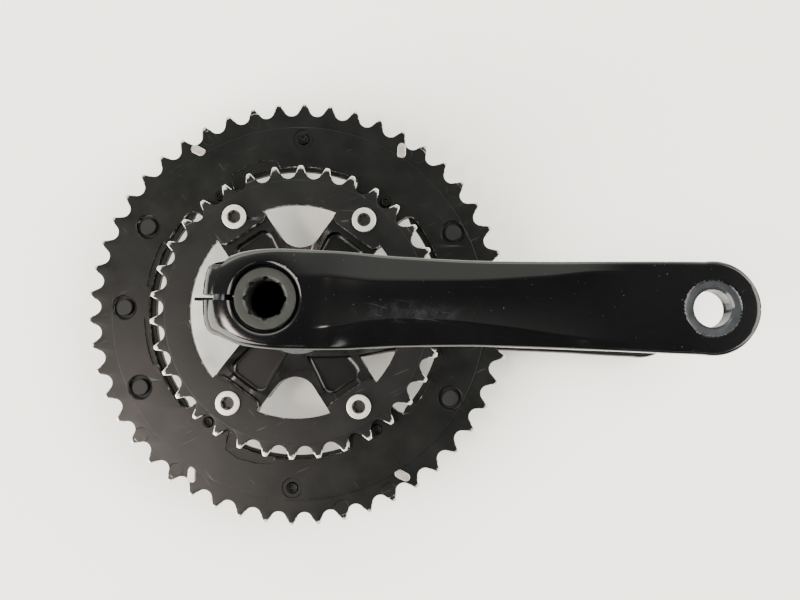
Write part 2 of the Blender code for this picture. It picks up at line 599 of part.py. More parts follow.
# ---------------------------------------------------------------- left side
def make_left_arm(parts, tools):
    """The left arm: a clamp at the spindle, faceted along its outer side, and a pedal eye."""
    half_plan = [
        (-0.0247, 0.0), (-0.0243, 0.008), (-0.0226, 0.0134), (-0.0182, 0.0149), (-0.0152, 0.0163),
        (-0.0093, 0.0183), (0.0059, 0.0197), (0.028, 0.0192), (0.052, 0.0175), (0.086, 0.0164),
        (0.128, 0.0168), (0.158, 0.0174),
    ]
    eye = arc((ARM_LENGTH, 0.0), EYE_RADIUS, EYE_HALF_SWEEP, -EYE_HALF_SWEEP, 17)
    plan = half_plan + eye + [(x, -y) for x, y in reversed(half_plan[1:])]
    arm = slab("left_arm", [plan], INNER_SIDE_LOW_Z, INNER_SIDE_TOP_Z, parts)
    side = [
        (-0.030, LEFT_INNER_Z + 0.0008), (0.019, LEFT_INNER_Z + 0.0008), (0.034, 0.1128), (0.150, 0.1232),
        (0.200, LEFT_EYE_INNER_Z), (0.200, LEFT_EYE_OUTER_Z), (0.156, LEFT_EYE_OUTER_Z), (0.040, 0.1305),
        (0.018, LEFT_OUTER_Z), (-0.030, LEFT_OUTER_Z),
    ]
    boolean(arm, slab("left_side", [side], -0.04, 0.04, tools, lying=True), "INTERSECT")
    round_edges(arm, 0.0028, 1)
    boss = turned("left_boss", [
        (0.0, BOSS_TOP_Z), (BOSS_RADIUS, BOSS_TOP_Z), (BOSS_RADIUS, LEFT_INNER_Z), (0.0, LEFT_INNER_Z),
    ], tools, 40, closed=False)
    boolean(arm, boss, "UNION")
    place, radius, top = [(0.0, 0.0)], SPINDLE_RADIUS + GAP, SPLINE_START_Z + GAP
    entry = rods("spindle_entry", place, radius, INNER_SIDE_LOW_Z, top, tools, 40)
    boolean(arm, entry, "DIFFERENCE")
    grown = spline_outline(SPLINE_ROOT_RADIUS + SPLINE_CLEARANCE, SPLINE_TIP_RADIUS + SPLINE_CLEARANCE,
                           SPLINE_BORE_HALF_ANGLE)
    boolean(arm, slab("spline_bore", [grown], INNER_SIDE_LOW_Z, CAP_TOP_Z, tools), "DIFFERENCE")
    mouth, top = COUNTERBORE_RADIUS + 0.001, LEFT_EYE_OUTER_Z
    counterbore = turned("counterbore", [
        (0.0, top), (2 * mouth, top), (mouth, LEFT_OUTER_Z), (COUNTERBORE_RADIUS, LEFT_OUTER_Z - 0.0012),
        (COUNTERBORE_RADIUS, CAP_SEAT_Z), (0.0, CAP_SEAT_Z),
    ], tools, 40, closed=False)
    boolean(arm, counterbore, "DIFFERENCE")
    cut_clamp(arm, tools)
    cut_pedal_eye(arm, LEFT_EYE_OUTER_Z, 1, tools)
    return arm


def cut_clamp(arm, tools):
    """The slot behind the spindle and the two pinch bolts' holes across it."""
    half = SLOT_WIDTH / 2
    low, high = (-REACH, -half, INNER_SIDE_LOW_Z), (SLOT_FROM_X, half, INNER_SIDE_TOP_Z)
    boolean(arm, block("clamp_slot", low, high, tools), "DIFFERENCE")
    places = [(PINCH_X, PINCH_INNER_Z), (PINCH_X, PINCH_OUTER_Z)]
    shank = PINCH_SHANK_RADIUS + GAP
    boolean(arm, rods("pinch_holes", places, shank, PINCH_TIP_Y - GAP, REACH, tools, 20, "Y"), "DIFFERENCE")
    head = PINCH_HEAD_RADIUS + GAP
    boolean(arm, rods("pinch_seats", places, head, PINCH_HEAD_FROM_Y - GAP, REACH, tools, 24, "Y"), "DIFFERENCE")


def make_pinch_bolts(parts, tools):
    """Two socket-head bolts that close the clamp."""
    bolts = []
    for name, z in (("pinch_bolt_inner", PINCH_INNER_Z), ("pinch_bolt_outer", PINCH_OUTER_Z)):
        bolt = turned(name, [
            (0.0, PINCH_HEAD_TO_Y), (PINCH_HEAD_RADIUS - 0.0005, PINCH_HEAD_TO_Y),
            (PINCH_HEAD_RADIUS, PINCH_HEAD_TO_Y - 0.0005), (PINCH_HEAD_RADIUS, PINCH_HEAD_FROM_Y),
            (PINCH_SHANK_RADIUS, PINCH_HEAD_FROM_Y), (PINCH_SHANK_RADIUS, PINCH_TIP_Y + PINCH_TIP_CHAMFER),
            (PINCH_SHANK_RADIUS - PINCH_TIP_CHAMFER, PINCH_TIP_Y), (0.0, PINCH_TIP_Y),
        ], parts, 24, closed=False)
        floor = PINCH_HEAD_TO_Y - PINCH_SOCKET_DEPTH
        socket = rods(name + "_socket", [(0.0, 0.0)], PINCH_SOCKET_RADIUS, floor, REACH, tools, 6)
        boolean(bolt, socket, "DIFFERENCE")
        for obj in (bolt, socket):
            obj.matrix_world = Matrix.Translation((PINCH_X, 0.0, z)) @ Matrix.Rotation(-math.pi / 2, 4, "X")
        bolts.append(bolt)
    return bolts


def make_stopper(parts, tools, pivot):
    """The thin safety plate that turns on the inner pinch bolt, drawn engaged and then lifted."""
    outline = arc((0.0, 0.0), STOPPER_END_RADIUS, math.radians(-20), math.radians(-150), 7)
    outline += [(STOPPER_TIP_X, -0.0026), (STOPPER_TIP_X, 0.0010), (-0.0046, 0.0016)]
    outline += [(-0.0030, 0.0046), (0.0006, 0.0061), (0.0070, 0.0060), (0.0070, 0.0040), (0.0044, 0.0036)]
    hole = circle(PINCH_SHANK_RADIUS + GAP, 20)
    half = STOPPER_THICKNESS / 2
    plate = slab("stopper_plate", [outline, hole], -half, half, parts, lying=True)
    plate.data.transform(Matrix.Rotation(-STOPPER_LIFT, 4, "Y"))
    plate.parent = pivot
    return plate


def make_preload_cap(parts, tools):
    """The threaded cap that draws the left arm in, with a notched tool socket."""
    cap = turned("preload_cap", [
        (CAP_HOLE_RADIUS, CAP_TOP_Z - 0.0010), (0.0085, CAP_TOP_Z), (CAP_RADIUS - 0.0004, CAP_TOP_Z),
        (CAP_RADIUS, CAP_TOP_Z - 0.0004), (CAP_RADIUS, CAP_SEAT_Z + GAP), (CAP_SHANK_RADIUS, CAP_SEAT_Z + GAP),
        (CAP_SHANK_RADIUS, CAP_LOW_Z), (CAP_HOLE_RADIUS, CAP_LOW_Z),
    ], parts, 40)
    notches = bolt_places(CAP_HOLE_RADIUS, [2 * math.pi * k / CAP_NOTCHES for k in range(CAP_NOTCHES)])
    low, high = CAP_TOP_Z - 0.006, CAP_TOP_Z + REACH
    boolean(cap, rods("cap_notches", notches, CAP_NOTCH_RADIUS, low, high, tools, 10), "DIFFERENCE")
    return cap


# ---------------------------------------------------------------- assembly
def dress(objects, material):
    for obj in objects:
        obj.data.materials.clear()
        obj.data.materials.append(material)
        obj.data.shade_smooth()
        obj.data.set_sharp_from_angle(angle=math.radians(32))


def main():
    clear_scene()
    parts = new_collection("bicycle_crankset")
    tools = new_collection("crankset_cutters")
    tools.hide_render = True

    gloss_black = make_material("gloss_black_enamel", (0.012, 0.013, 0.013), 0.18, 0.35)
    satin_black = make_material("black_anodised_aluminium", (0.020, 0.021, 0.022), 0.42, 0.6)
    resin_black = make_material("black_resin", (0.018, 0.018, 0.019), 0.5, 0.0)
    bright_steel = make_material("plated_steel", (0.55, 0.54, 0.51), 0.28, 1.0)
    dark_steel = make_material("dark_steel", (0.06, 0.06, 0.06), 0.4, 0.9)
    grey_cap = make_material("grey_cap_resin", (0.14, 0.15, 0.13), 0.38, 0.3)

    dress([make_drive_arm(parts, tools), make_left_arm(parts, tools)], gloss_black)
    dress([make_outer_ring(parts, tools), make_inner_ring(parts, tools)], satin_black)
    dress([make_cover(parts, tools), make_end_cap(parts)], resin_black)
    dress([make_spindle(parts, tools)], dark_steel)
    bolts, inserts = make_ring_fasteners(parts, tools)
    dress(bolts + inserts, bright_steel)
    pins, rivets, drop_pin = make_ring_hardware(parts)
    dress(pins, bright_steel)
    dress(rivets + [drop_pin], dark_steel)
    dress(make_pinch_bolts(parts, tools), dark_steel)

    cap_axis = put("cap_axis", None, parts)
    cap_axis.location = (0.0, 0.0, CAP_SEAT_Z)
    cap = make_preload_cap(parts, tools)
    cap.data.transform(Matrix.Translation((0.0, 0.0, -CAP_SEAT_Z)))
    bpy.data.objects["cap_notches"].data.transform(Matrix.Translation((0.0, 0.0, -CAP_SEAT_Z)))
    cap.parent = bpy.data.objects["cap_notches"].parent = cap_axis
    dress([cap], grey_cap)

    stopper_axis = put("stopper_axis", None, parts)
    stopper_axis.location = (PINCH_X, 0.0, PINCH_INNER_Z)
    dress([make_stopper(parts, tools, stopper_axis)], dark_steel)


main()
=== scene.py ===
"""The looks of a two-ring road bicycle crankset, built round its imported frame.

Every piece is modelled at the bench in millimetres, in the frame's own axes, and is scaled to
metres when it is delivered: +Z runs along the spindle from the drive side to the left arm, and
+X along both arms.
"""

import logging
import math
from collections.abc import Callable, Iterator, Sequence
from contextlib import contextmanager
from dataclasses import dataclass, field
from enum import Enum

import bmesh
import bpy
import numpy as np
from mathutils import Matrix, Vector


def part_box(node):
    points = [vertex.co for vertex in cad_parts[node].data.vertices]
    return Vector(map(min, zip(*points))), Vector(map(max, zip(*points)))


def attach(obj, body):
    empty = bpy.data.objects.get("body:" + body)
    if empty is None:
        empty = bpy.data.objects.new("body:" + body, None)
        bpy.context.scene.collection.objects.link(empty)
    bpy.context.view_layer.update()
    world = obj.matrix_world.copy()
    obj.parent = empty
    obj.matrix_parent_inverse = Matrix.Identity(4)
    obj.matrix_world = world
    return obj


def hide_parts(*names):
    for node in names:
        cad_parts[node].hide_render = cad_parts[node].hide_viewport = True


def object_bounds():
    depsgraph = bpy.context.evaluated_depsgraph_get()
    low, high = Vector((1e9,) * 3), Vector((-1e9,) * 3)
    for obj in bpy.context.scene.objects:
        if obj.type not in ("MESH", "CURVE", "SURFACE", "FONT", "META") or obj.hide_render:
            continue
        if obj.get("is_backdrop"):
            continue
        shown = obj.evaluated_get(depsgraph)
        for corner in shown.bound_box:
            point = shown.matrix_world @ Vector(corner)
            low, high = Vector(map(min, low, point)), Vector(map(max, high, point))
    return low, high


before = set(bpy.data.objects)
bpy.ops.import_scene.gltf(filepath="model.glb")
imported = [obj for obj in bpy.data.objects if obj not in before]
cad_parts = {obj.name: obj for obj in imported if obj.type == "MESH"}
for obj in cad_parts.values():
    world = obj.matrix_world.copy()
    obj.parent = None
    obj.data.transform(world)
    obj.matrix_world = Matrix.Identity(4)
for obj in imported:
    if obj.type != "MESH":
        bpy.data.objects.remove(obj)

log = logging.getLogger("crankset")

Point = tuple[float, float]
Outline = list[Point]
Number = float | np.ndarray

METRES_PER_MM = 0.001

CHAIN_PITCH = 12.7
ROLLER_RADIUS = 3.97
BOLT_CIRCLE = 55.0
BOLT_ANGLES = (55.0, 125.0, 235.0, 305.0)
CLEARANCE = 0.3


class Join(Enum):
    """How a tool solid changes a piece."""

    CUT = "DIFFERENCE"
    ADD = "UNION"
    KEEP = "INTERSECT"


class Body(Enum):
    """The moving bodies of the crankset."""

    DRIVE_SIDE = "drive_side"
    LEFT_CRANK = "left_crank"
    CAP = "cap"
    STOPPER = "stopper"


# ---------------------------------------------------------------- outlines, in millimetres
def arc(centre: Point, radius: float, start: float, end: float, count: int) -> Outline:
    """Points on a circle's arc.

    Args:
        centre: The circle's centre.
        radius: Its radius.
        start: Angle of the first point, in degrees.
        end: Angle of the last point, in degrees.
        count: How many points, both ends included.

    Returns:
        The points in order.
    """
    angles = np.radians(np.linspace(start, end, count))
    return [(centre[0] + radius * math.cos(a), centre[1] + radius * math.sin(a)) for a in angles]


def circle(radius: float, count: int = 64, centre: Point = (0.0, 0.0)) -> Outline:
    """A full circle's outline."""
    return arc(centre, radius, 0.0, 360.0, count + 1)[:-1]


def turn_outline(points: Sequence[Point], degrees: float, shift: Point = (0.0, 0.0)) -> Outline:
    """An outline turned about the axis by an angle in degrees and then moved."""
    c, s = math.cos(math.radians(degrees)), math.sin(math.radians(degrees))
    return [(shift[0] + c * x - s * y, shift[1] + s * x + c * y) for x, y in points]


def around(radius: float, degrees: float) -> Point:
    """The place at that radius and angle from the spindle's axis."""
    return radius * math.cos(math.radians(degrees)), radius * math.sin(math.radians(degrees))


def rounded(corners: Sequence[tuple[float, float, float]], steps: int = 6) -> Outline:
    """An outline through corners, each rounded by its own arc.

    Args:
        corners: (x, y, radius) of each corner, in order.
        steps: Straight runs in each rounding.

    Returns:
        The rounded outline.
    """
    points: Outline = []
    for k, (x, y, radius) in enumerate(corners):
        here = Vector((x, y))
        back = (Vector(corners[k - 1][:2]) - here).normalized()
        ahead = (Vector(corners[(k + 1) % len(corners)][:2]) - here).normalized()
        half = back.angle(ahead) / 2
        if radius <= 0 or half > math.radians(89):
            points.append((x, y))
            continue
        centre = here + (back + ahead).normalized() * (radius / math.sin(half))
        first = here + back * (radius / math.tan(half)) - centre
        last = here + ahead * (radius / math.tan(half)) - centre
        sweep = first.angle_signed(last)
        for n in range(steps + 1):
            spoke = Matrix.Rotation(-sweep * n / steps, 2) @ first
            points.append((centre.x + spoke.x, centre.y + spoke.y))
    return points


def oblong(length: float, width: float, steps: int = 9) -> Outline:
    """A slot-shaped outline, centred, with its length along x."""
    straight = (length - width) / 2
    return arc((straight, 0), width / 2, -90, 90, steps) + arc((-straight, 0), width / 2, 90, 270, steps)


def tooth_outline(teeth: int, tip_radius: float) -> Outline:
    """A sprocket's outline: a roller seat between each pair of round-cornered teeth."""
    pitch_radius = CHAIN_PITCH / 2 / math.sin(math.pi / teeth)
    half_pitch = 180.0 / teeth
    seat = arc((pitch_radius, 0.0), ROLLER_RADIUS, 250, 110, 11)
    tip_half = math.degrees(0.75 / tip_radius)
    tip = []
    for drop, spread in ((1.0, -1.9), (0.18, -1.35), (0.0, -0.8), (0.0, 0.8), (0.18, 1.35), (1.0, 1.9)):
        tip.append(around(tip_radius - drop, half_pitch + spread * tip_half))
    return [p for k in range(teeth) for p in turn_outline(seat + tip, 2 * half_pitch * k)]


def lobed_loop(edge_radii: Point, lobe: Outline, steps: int) -> Outline:
    """A ring's inner edge, broken at each chainring bolt by a lobe.

    Args:
        edge_radii: Radius of the edge in the short gaps between lobes, and in the long ones.
        lobe: The lobe's (outward, sideways) points, from its -side root to its +side root.
        steps: Points in each arc between two lobes.

    Returns:
        The closed inner edge.
    """
    points: Outline = []
    half = math.degrees(math.atan2(lobe[-1][1], lobe[-1][0]))
    for k, angle in enumerate(BOLT_ANGLES):
        points += turn_outline(lobe, angle)
        following = BOLT_ANGLES[(k + 1) % 4] + (360.0 if k == 3 else 0.0)
        points += arc((0.0, 0.0), edge_radii[k % 2], angle + half, following - half, steps)[1:-1]
    return points


def smooth_course(stations: Sequence[Point]) -> Callable[[Number], Number]:
    """A smooth curve through (along, value) stations, with no overshoot between them.

    Args:
        stations: The stations in rising order.

    Returns:
        A function of the place along, which also takes arrays.
    """
    at, value = (np.array(column, float) for column in zip(*stations))
    steps = np.diff(value) / np.diff(at)
    slope = np.zeros(len(at))
    same_way = steps[:-1] * steps[1:] > 0
    slope[1:-1][same_way] = 2 * steps[:-1][same_way] * steps[1:][same_way] / (steps[:-1] + steps[1:])[same_way]
    slope[0], slope[-1] = steps[0], steps[-1]

    def value_at(place: Number) -> Number:
        """The curve's value, held level past its ends."""
        x = np.clip(place, at[0], at[-1])
        k = np.clip(np.searchsorted(at, x, side="right") - 1, 0, len(steps) - 1)
        run = at[k + 1] - at[k]
        t = (x - at[k]) / run
        rise = value[k] * (1 + 2 * t) * (1 - t) ** 2 + value[k + 1] * t * t * (3 - 2 * t)
        return rise + run * (slope[k] * t * (1 - t) ** 2 - slope[k + 1] * t * t * (1 - t))

    return value_at


def ease(start: float, end: float, place: Number) -> Number:
    """0 before start, 1 after end, and a smooth step between."""
    t = np.clip((place - start) / (end - start), 0.0, 1.0)
    return t * t * (3 - 2 * t)


# ---------------------------------------------------------------- work at the bench
def pick(obj: bpy.types.Object) -> None:
    """Make obj the only selected object and the active one."""
    bpy.ops.object.select_all(action="DESELECT")
    obj.select_set(True)
    bpy.context.view_layer.objects.active = obj


@contextmanager
def editing(obj: bpy.types.Object) -> Iterator[None]:
    """Open obj in edit mode with everything selected, and close it afterwards."""
    pick(obj)
    bpy.ops.object.mode_set(mode="EDIT")
    bpy.ops.mesh.select_all(action="SELECT")
    yield
    bpy.ops.object.mode_set(mode="OBJECT")


def close_up(obj: bpy.types.Object, reach: float = 0.002) -> None:
    """Merge doubled points, drop flat faces and point every face outwards."""
    with editing(obj):
        bpy.ops.mesh.remove_doubles(threshold=reach)
        bpy.ops.mesh.dissolve_degenerate(threshold=reach / 4)
        bpy.ops.mesh.select_all(action="SELECT")
        bpy.ops.mesh.normals_make_consistent(inside=False)


def set_place(obj: bpy.types.Object) -> None:
    """Apply the object's place, turn and scale to its mesh."""
    pick(obj)
    bpy.ops.object.transform_apply(location=True, rotation=True, scale=True)


def lathe(name: str, profile: Outline, segments: int = 72, closed: bool = False) -> bpy.types.Object:
    """Turn a profile about the axis: a circle extruded and resized from ring to ring.

    Args:
        name: The object's name.
        profile: (radius, height) points. A zero radius at an end closes that end flat.
        segments: Sides of the turned shape.
        closed: Whether the last ring joins the first, as on a tube.

    Returns:
        The closed solid.
    """
    rings = [(radius, height) for radius, height in profile if radius > 0]
    if closed:
        rings.append(rings[0])
    radius, height = rings[0]
    bpy.ops.object.select_all(action="DESELECT")
    bpy.ops.mesh.primitive_circle_add(vertices=segments, radius=radius, location=(0, 0, height))
    obj = bpy.context.object
    obj.name = name
    set_place(obj)
    with editing(obj):
        if profile[0][0] == 0:
            bpy.ops.mesh.edge_face_add()
            bpy.ops.mesh.select_all(action="SELECT")
            bpy.ops.mesh.extrude_edges_move()
            bpy.ops.transform.translate(value=(0, 0, 0))
        for following, level in rings[1:]:
            bpy.ops.mesh.extrude_region_move(TRANSFORM_OT_translate={"value": (0, 0, level - height)})
            share = following / radius
            bpy.ops.transform.resize(value=(share, share, 1), center_override=(0, 0, level))
            radius, height = following, level
        if profile[-1][0] == 0:
            bpy.ops.mesh.edge_face_add()
    close_up(obj)
    return obj


def plate(name: str, loops: Sequence[Outline], low: float, high: float,
          edge: float = 0.0, steps: int = 1) -> bpy.types.Object:
    """A flat outline with any holes, given its thickness and a rounded or chamfered edge.

    Args:
        name: The object's name.
        loops: The outline, then its holes.
        low: Height of the lower face.
        high: Height of the upper face.
        edge: Radius of the rounding on every edge.
        steps: Faces across each rounding; 1 is a plain chamfer.

    Returns:
        The closed solid.
    """
    curve = bpy.data.curves.new(name, "CURVE")
    curve.dimensions = "2D"
    curve.fill_mode = "BOTH"
    curve.extrude = (high - low) / 2 - edge
    curve.bevel_depth = edge
    curve.bevel_resolution = steps - 1
    curve.offset = -edge
    for loop in loops:
        spline = curve.splines.new("POLY")
        spline.points.add(len(loop) - 1)
        spline.points.foreach_set("co", [n for x, y in loop for n in (x, y, 0.0, 1.0)])
        spline.use_cyclic_u = True
    obj = bpy.data.objects.new(name, curve)
    bpy.context.scene.collection.objects.link(obj)
    obj.location = (0.0, 0.0, (low + high) / 2)
    pick(obj)
    bpy.ops.object.convert(target="MESH")
    obj = bpy.context.object
    set_place(obj)
    close_up(obj)
    return obj


def lattice(name: str, points: np.ndarray) -> bpy.types.Object:
    """A grid laid over a form and sewn up along its sides.

    Args:
        name: The object's name.
        points: Places as (rows, columns, 3); the last column repeats the first.

    Returns:
        The closed solid.
    """
    rows, columns, _ = points.shape
    bpy.ops.object.select_all(action="DESELECT")
    bpy.ops.mesh.primitive_grid_add(x_subdivisions=columns - 1, y_subdivisions=rows - 1, size=1)
    obj = bpy.context.object
    obj.name = name
    obj.data.vertices.foreach_set("co", points.astype(np.float32).ravel())
    obj.data.update()
    close_up(obj, 0.004)
    return obj


def combine(piece: bpy.types.Object, tool: bpy.types.Object, how: Join) -> None:
    """Cut, join or intersect a piece with a tool, and put the tool away."""
    change = piece.modifiers.new(tool.name, "BOOLEAN")
    change.operation = how.value
    change.solver = "EXACT"
    change.object = tool
    pick(piece)
    bpy.ops.object.modifier_apply(modifier=change.name)
    bpy.data.objects.remove(tool, do_unlink=True)


def soften(piece: bpy.types.Object, width: float, segments: int, angle: float = 35.0) -> None:
    """Round every edge of a piece that is sharper than an angle in degrees."""
    bevel = piece.modifiers.new("edges", "BEVEL")
    bevel.width = width
    bevel.segments = segments
    bevel.limit_method = "ANGLE"
    bevel.angle_limit = math.radians(angle)
    bevel.harden_normals = False
    pick(piece)
    bpy.ops.object.modifier_apply(modifier=bevel.name)


def copy_of(piece: bpy.types.Object, name: str, place: Matrix) -> bpy.types.Object:
    """A second object with its own mesh, moved by a matrix."""
    pick(piece)
    bpy.ops.object.duplicate(linked=False)
    copy = bpy.context.object
    copy.name = name
    copy.data.transform(place)
    return copy


def at_places(tool: bpy.types.Object, places: Sequence[Matrix]) -> bpy.types.Object:
    """One object holding a copy of the tool at each place, and not the tool itself."""
    copies = [copy_of(tool, f"{tool.name}_{k}", place) for k, place in enumerate(places)]
    bpy.data.objects.remove(tool, do_unlink=True)
    bpy.ops.object.select_all(action="DESELECT")
    for copy in copies:
        copy.select_set(True)
    bpy.context.view_layer.objects.active = copies[0]
    bpy.ops.object.join()
    return bpy.context.object


def moved(x: float, y: float, z: float = 0.0, turn: float = 0.0) -> Matrix:
    """A turn about the vertical in degrees, followed by a move."""
    return Matrix.Translation((x, y, z)) @ Matrix.Rotation(math.radians(turn), 4, "Z")


def mark(piece: bpy.types.Object, name: str, share: Callable[[Vector, Vector], float]) -> None:
    """Write a number on every face for its finish to read.

    Args:
        piece: The piece to mark.
        name: The attribute's name.
        share: Gives the number from a face's centre in millimetres and its normal.
    """
    attribute = piece.data.attributes.new(name, "FLOAT", "FACE")
    for face, cell in zip(piece.data.polygons, attribute.data):
        cell.value = share(face.center, face.normal)


def deliver(piece: bpy.types.Object, node: str, body: Body,
            material: bpy.types.Material, smooth: float = 30.0) -> bpy.types.Object:
    """Shade a finished piece, scale it to metres and hang it on its body.

    Args:
        piece: The finished piece, in millimetres.
        node: The frame's node that it stands for.
        body: The body that it rides on.
        material: Its material.
        smooth: Largest angle between faces that still shade as one, in degrees.

    Returns:
        The piece.
    """
    piece.name = piece.data.name = f"{node}_finished"
    piece.data.materials.clear()
    piece.data.materials.append(material)
    pick(piece)
    bpy.ops.object.shade_smooth_by_angle(angle=math.radians(smooth))
    shading = piece.modifiers.new("flat_faces", "WEIGHTED_NORMAL")
    shading.keep_sharp = True
    bpy.ops.object.modifier_apply(modifier=shading.name)
    piece.scale = (METRES_PER_MM,) * 3
    set_place(piece)
    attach(piece, body.value)
    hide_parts(node)
    log.info("%s: %d faces, rides on %s", piece.name, len(piece.data.polygons), body.value)
    return piece


# ---------------------------------------------------------------- finishes
def linear(hex_colour: str) -> tuple[float, float, float, float]:
    """An sRGB hex colour as linear red, green, blue and alpha."""
    parts = [int(hex_colour[k : k + 2], 16) / 255 for k in (1, 3, 5)]
    return (*(c / 12.92 if c <= 0.04045 else ((c + 0.055) / 1.055) ** 2.4 for c in parts), 1.0)


def per_mm(size: float) -> float:
    """The pattern scale that gives a feature of that size in millimetres."""
    return 1.0 / (size * METRES_PER_MM)


def add_node(tree: bpy.types.NodeTree, kind: str, inputs: dict | None = None, **settings: object) -> bpy.types.Node:
    """Add a node with its settings, its input values and its links.

    Args:
        tree: The material's or world's tree.
        kind: The node's type name.
        inputs: Value or output socket for each input, by name or number.
        settings: The node's own properties.

    Returns:
        The node.
    """
    node = tree.nodes.new(kind)
    for name, value in settings.items():
        setattr(node, name, value)
    for key, value in (inputs or {}).items():
        socket = node.inputs[key]
        if isinstance(key, str):
            socket = next(s for s in node.inputs if s.name == key and s.enabled)
        if isinstance(value, bpy.types.NodeSocket):
            tree.links.new(value, socket)
        else:
            socket.default_value = value
    return node


def result(node: bpy.types.Node) -> bpy.types.NodeSocket:
    """The first output that the node's settings leave in use."""
    return next(socket for socket in node.outputs if socket.enabled)


@dataclass(frozen=True)
class Scratches:
    """Fine straight scratches that lie mostly one way.

    Attributes:
        length: How long a scratch runs, in millimetres.
        width: How wide it shows, drawn coarser than a real scratch so that it shows at all.
        turn: The way they lie, in degrees from +X.
        share: 0 for none to 1 for a surface full of them.
    """

    length: float = 9.0
    width: float = 0.35
    turn: float = 8.0
    share: float = 0.4

    def mask(self, tree: bpy.types.NodeTree, place: bpy.types.NodeSocket) -> bpy.types.NodeSocket:
        """A socket that is 1 in a scratch and 0 elsewhere."""
        lie = add_node(
            tree, "ShaderNodeMapping",
            {"Vector": place, "Rotation": (0.0, 0.0, math.radians(self.turn)),
             "Scale": (self.length / self.width, 1.0, 1.0)}, vector_type="TEXTURE")
        grain = add_node(
            tree, "ShaderNodeTexNoise",
            {"Vector": result(lie), "Scale": per_mm(self.width * 3), "Detail": 2.0, "Roughness": 0.6})
        start = 0.74 - 0.14 * self.share
        line = add_node(
            tree, "ShaderNodeMapRange",
            {"Value": grain.outputs["Fac"], "From Min": start, "From Max": start + 0.07})
        return result(line)


@dataclass(frozen=True)
class Patch:
    """A place on the surface where wear gathers, as an ellipsoid in millimetres."""

    centre: tuple[float, float, float]
    reach: tuple[float, float, float]

    def mask(self, tree: bpy.types.NodeTree, place: bpy.types.NodeSocket) -> bpy.types.NodeSocket:
        """A socket that is 1 at the centre and falls to 0 at the reach."""
        centred = add_node(
            tree, "ShaderNodeMapping",
            {"Vector": place, "Location": [c * METRES_PER_MM for c in self.centre],
             "Scale": [r * METRES_PER_MM for r in self.reach]}, vector_type="TEXTURE")
        fall = add_node(
            tree, "ShaderNodeTexGradient", {"Vector": result(centred)}, gradient_type="SPHERICAL")
        return fall.outputs["Fac"]


@dataclass(frozen=True)
class Finish:
    """A surface as it was made: its colours, and how the shader is wired."""

    name: str
    base: str
    lift: str
    roughness: float

    def material(self) -> bpy.types.Material:
        """Build the material."""
        made = bpy.data.materials.new(self.name)
        made.use_nodes = True
        tree = made.node_tree
        tree.nodes.clear()
        place = add_node(tree, "ShaderNodeTexCoord").outputs["Object"]
        shader = self.surface(tree, place)
        add_node(tree, "ShaderNodeOutputMaterial", {"Surface": result(shader)})
        return made

    def surface(self, tree: bpy.types.NodeTree, place: bpy.types.NodeSocket) -> bpy.types.Node:
        """Wire the surface and return its shader."""
        raise NotImplementedError


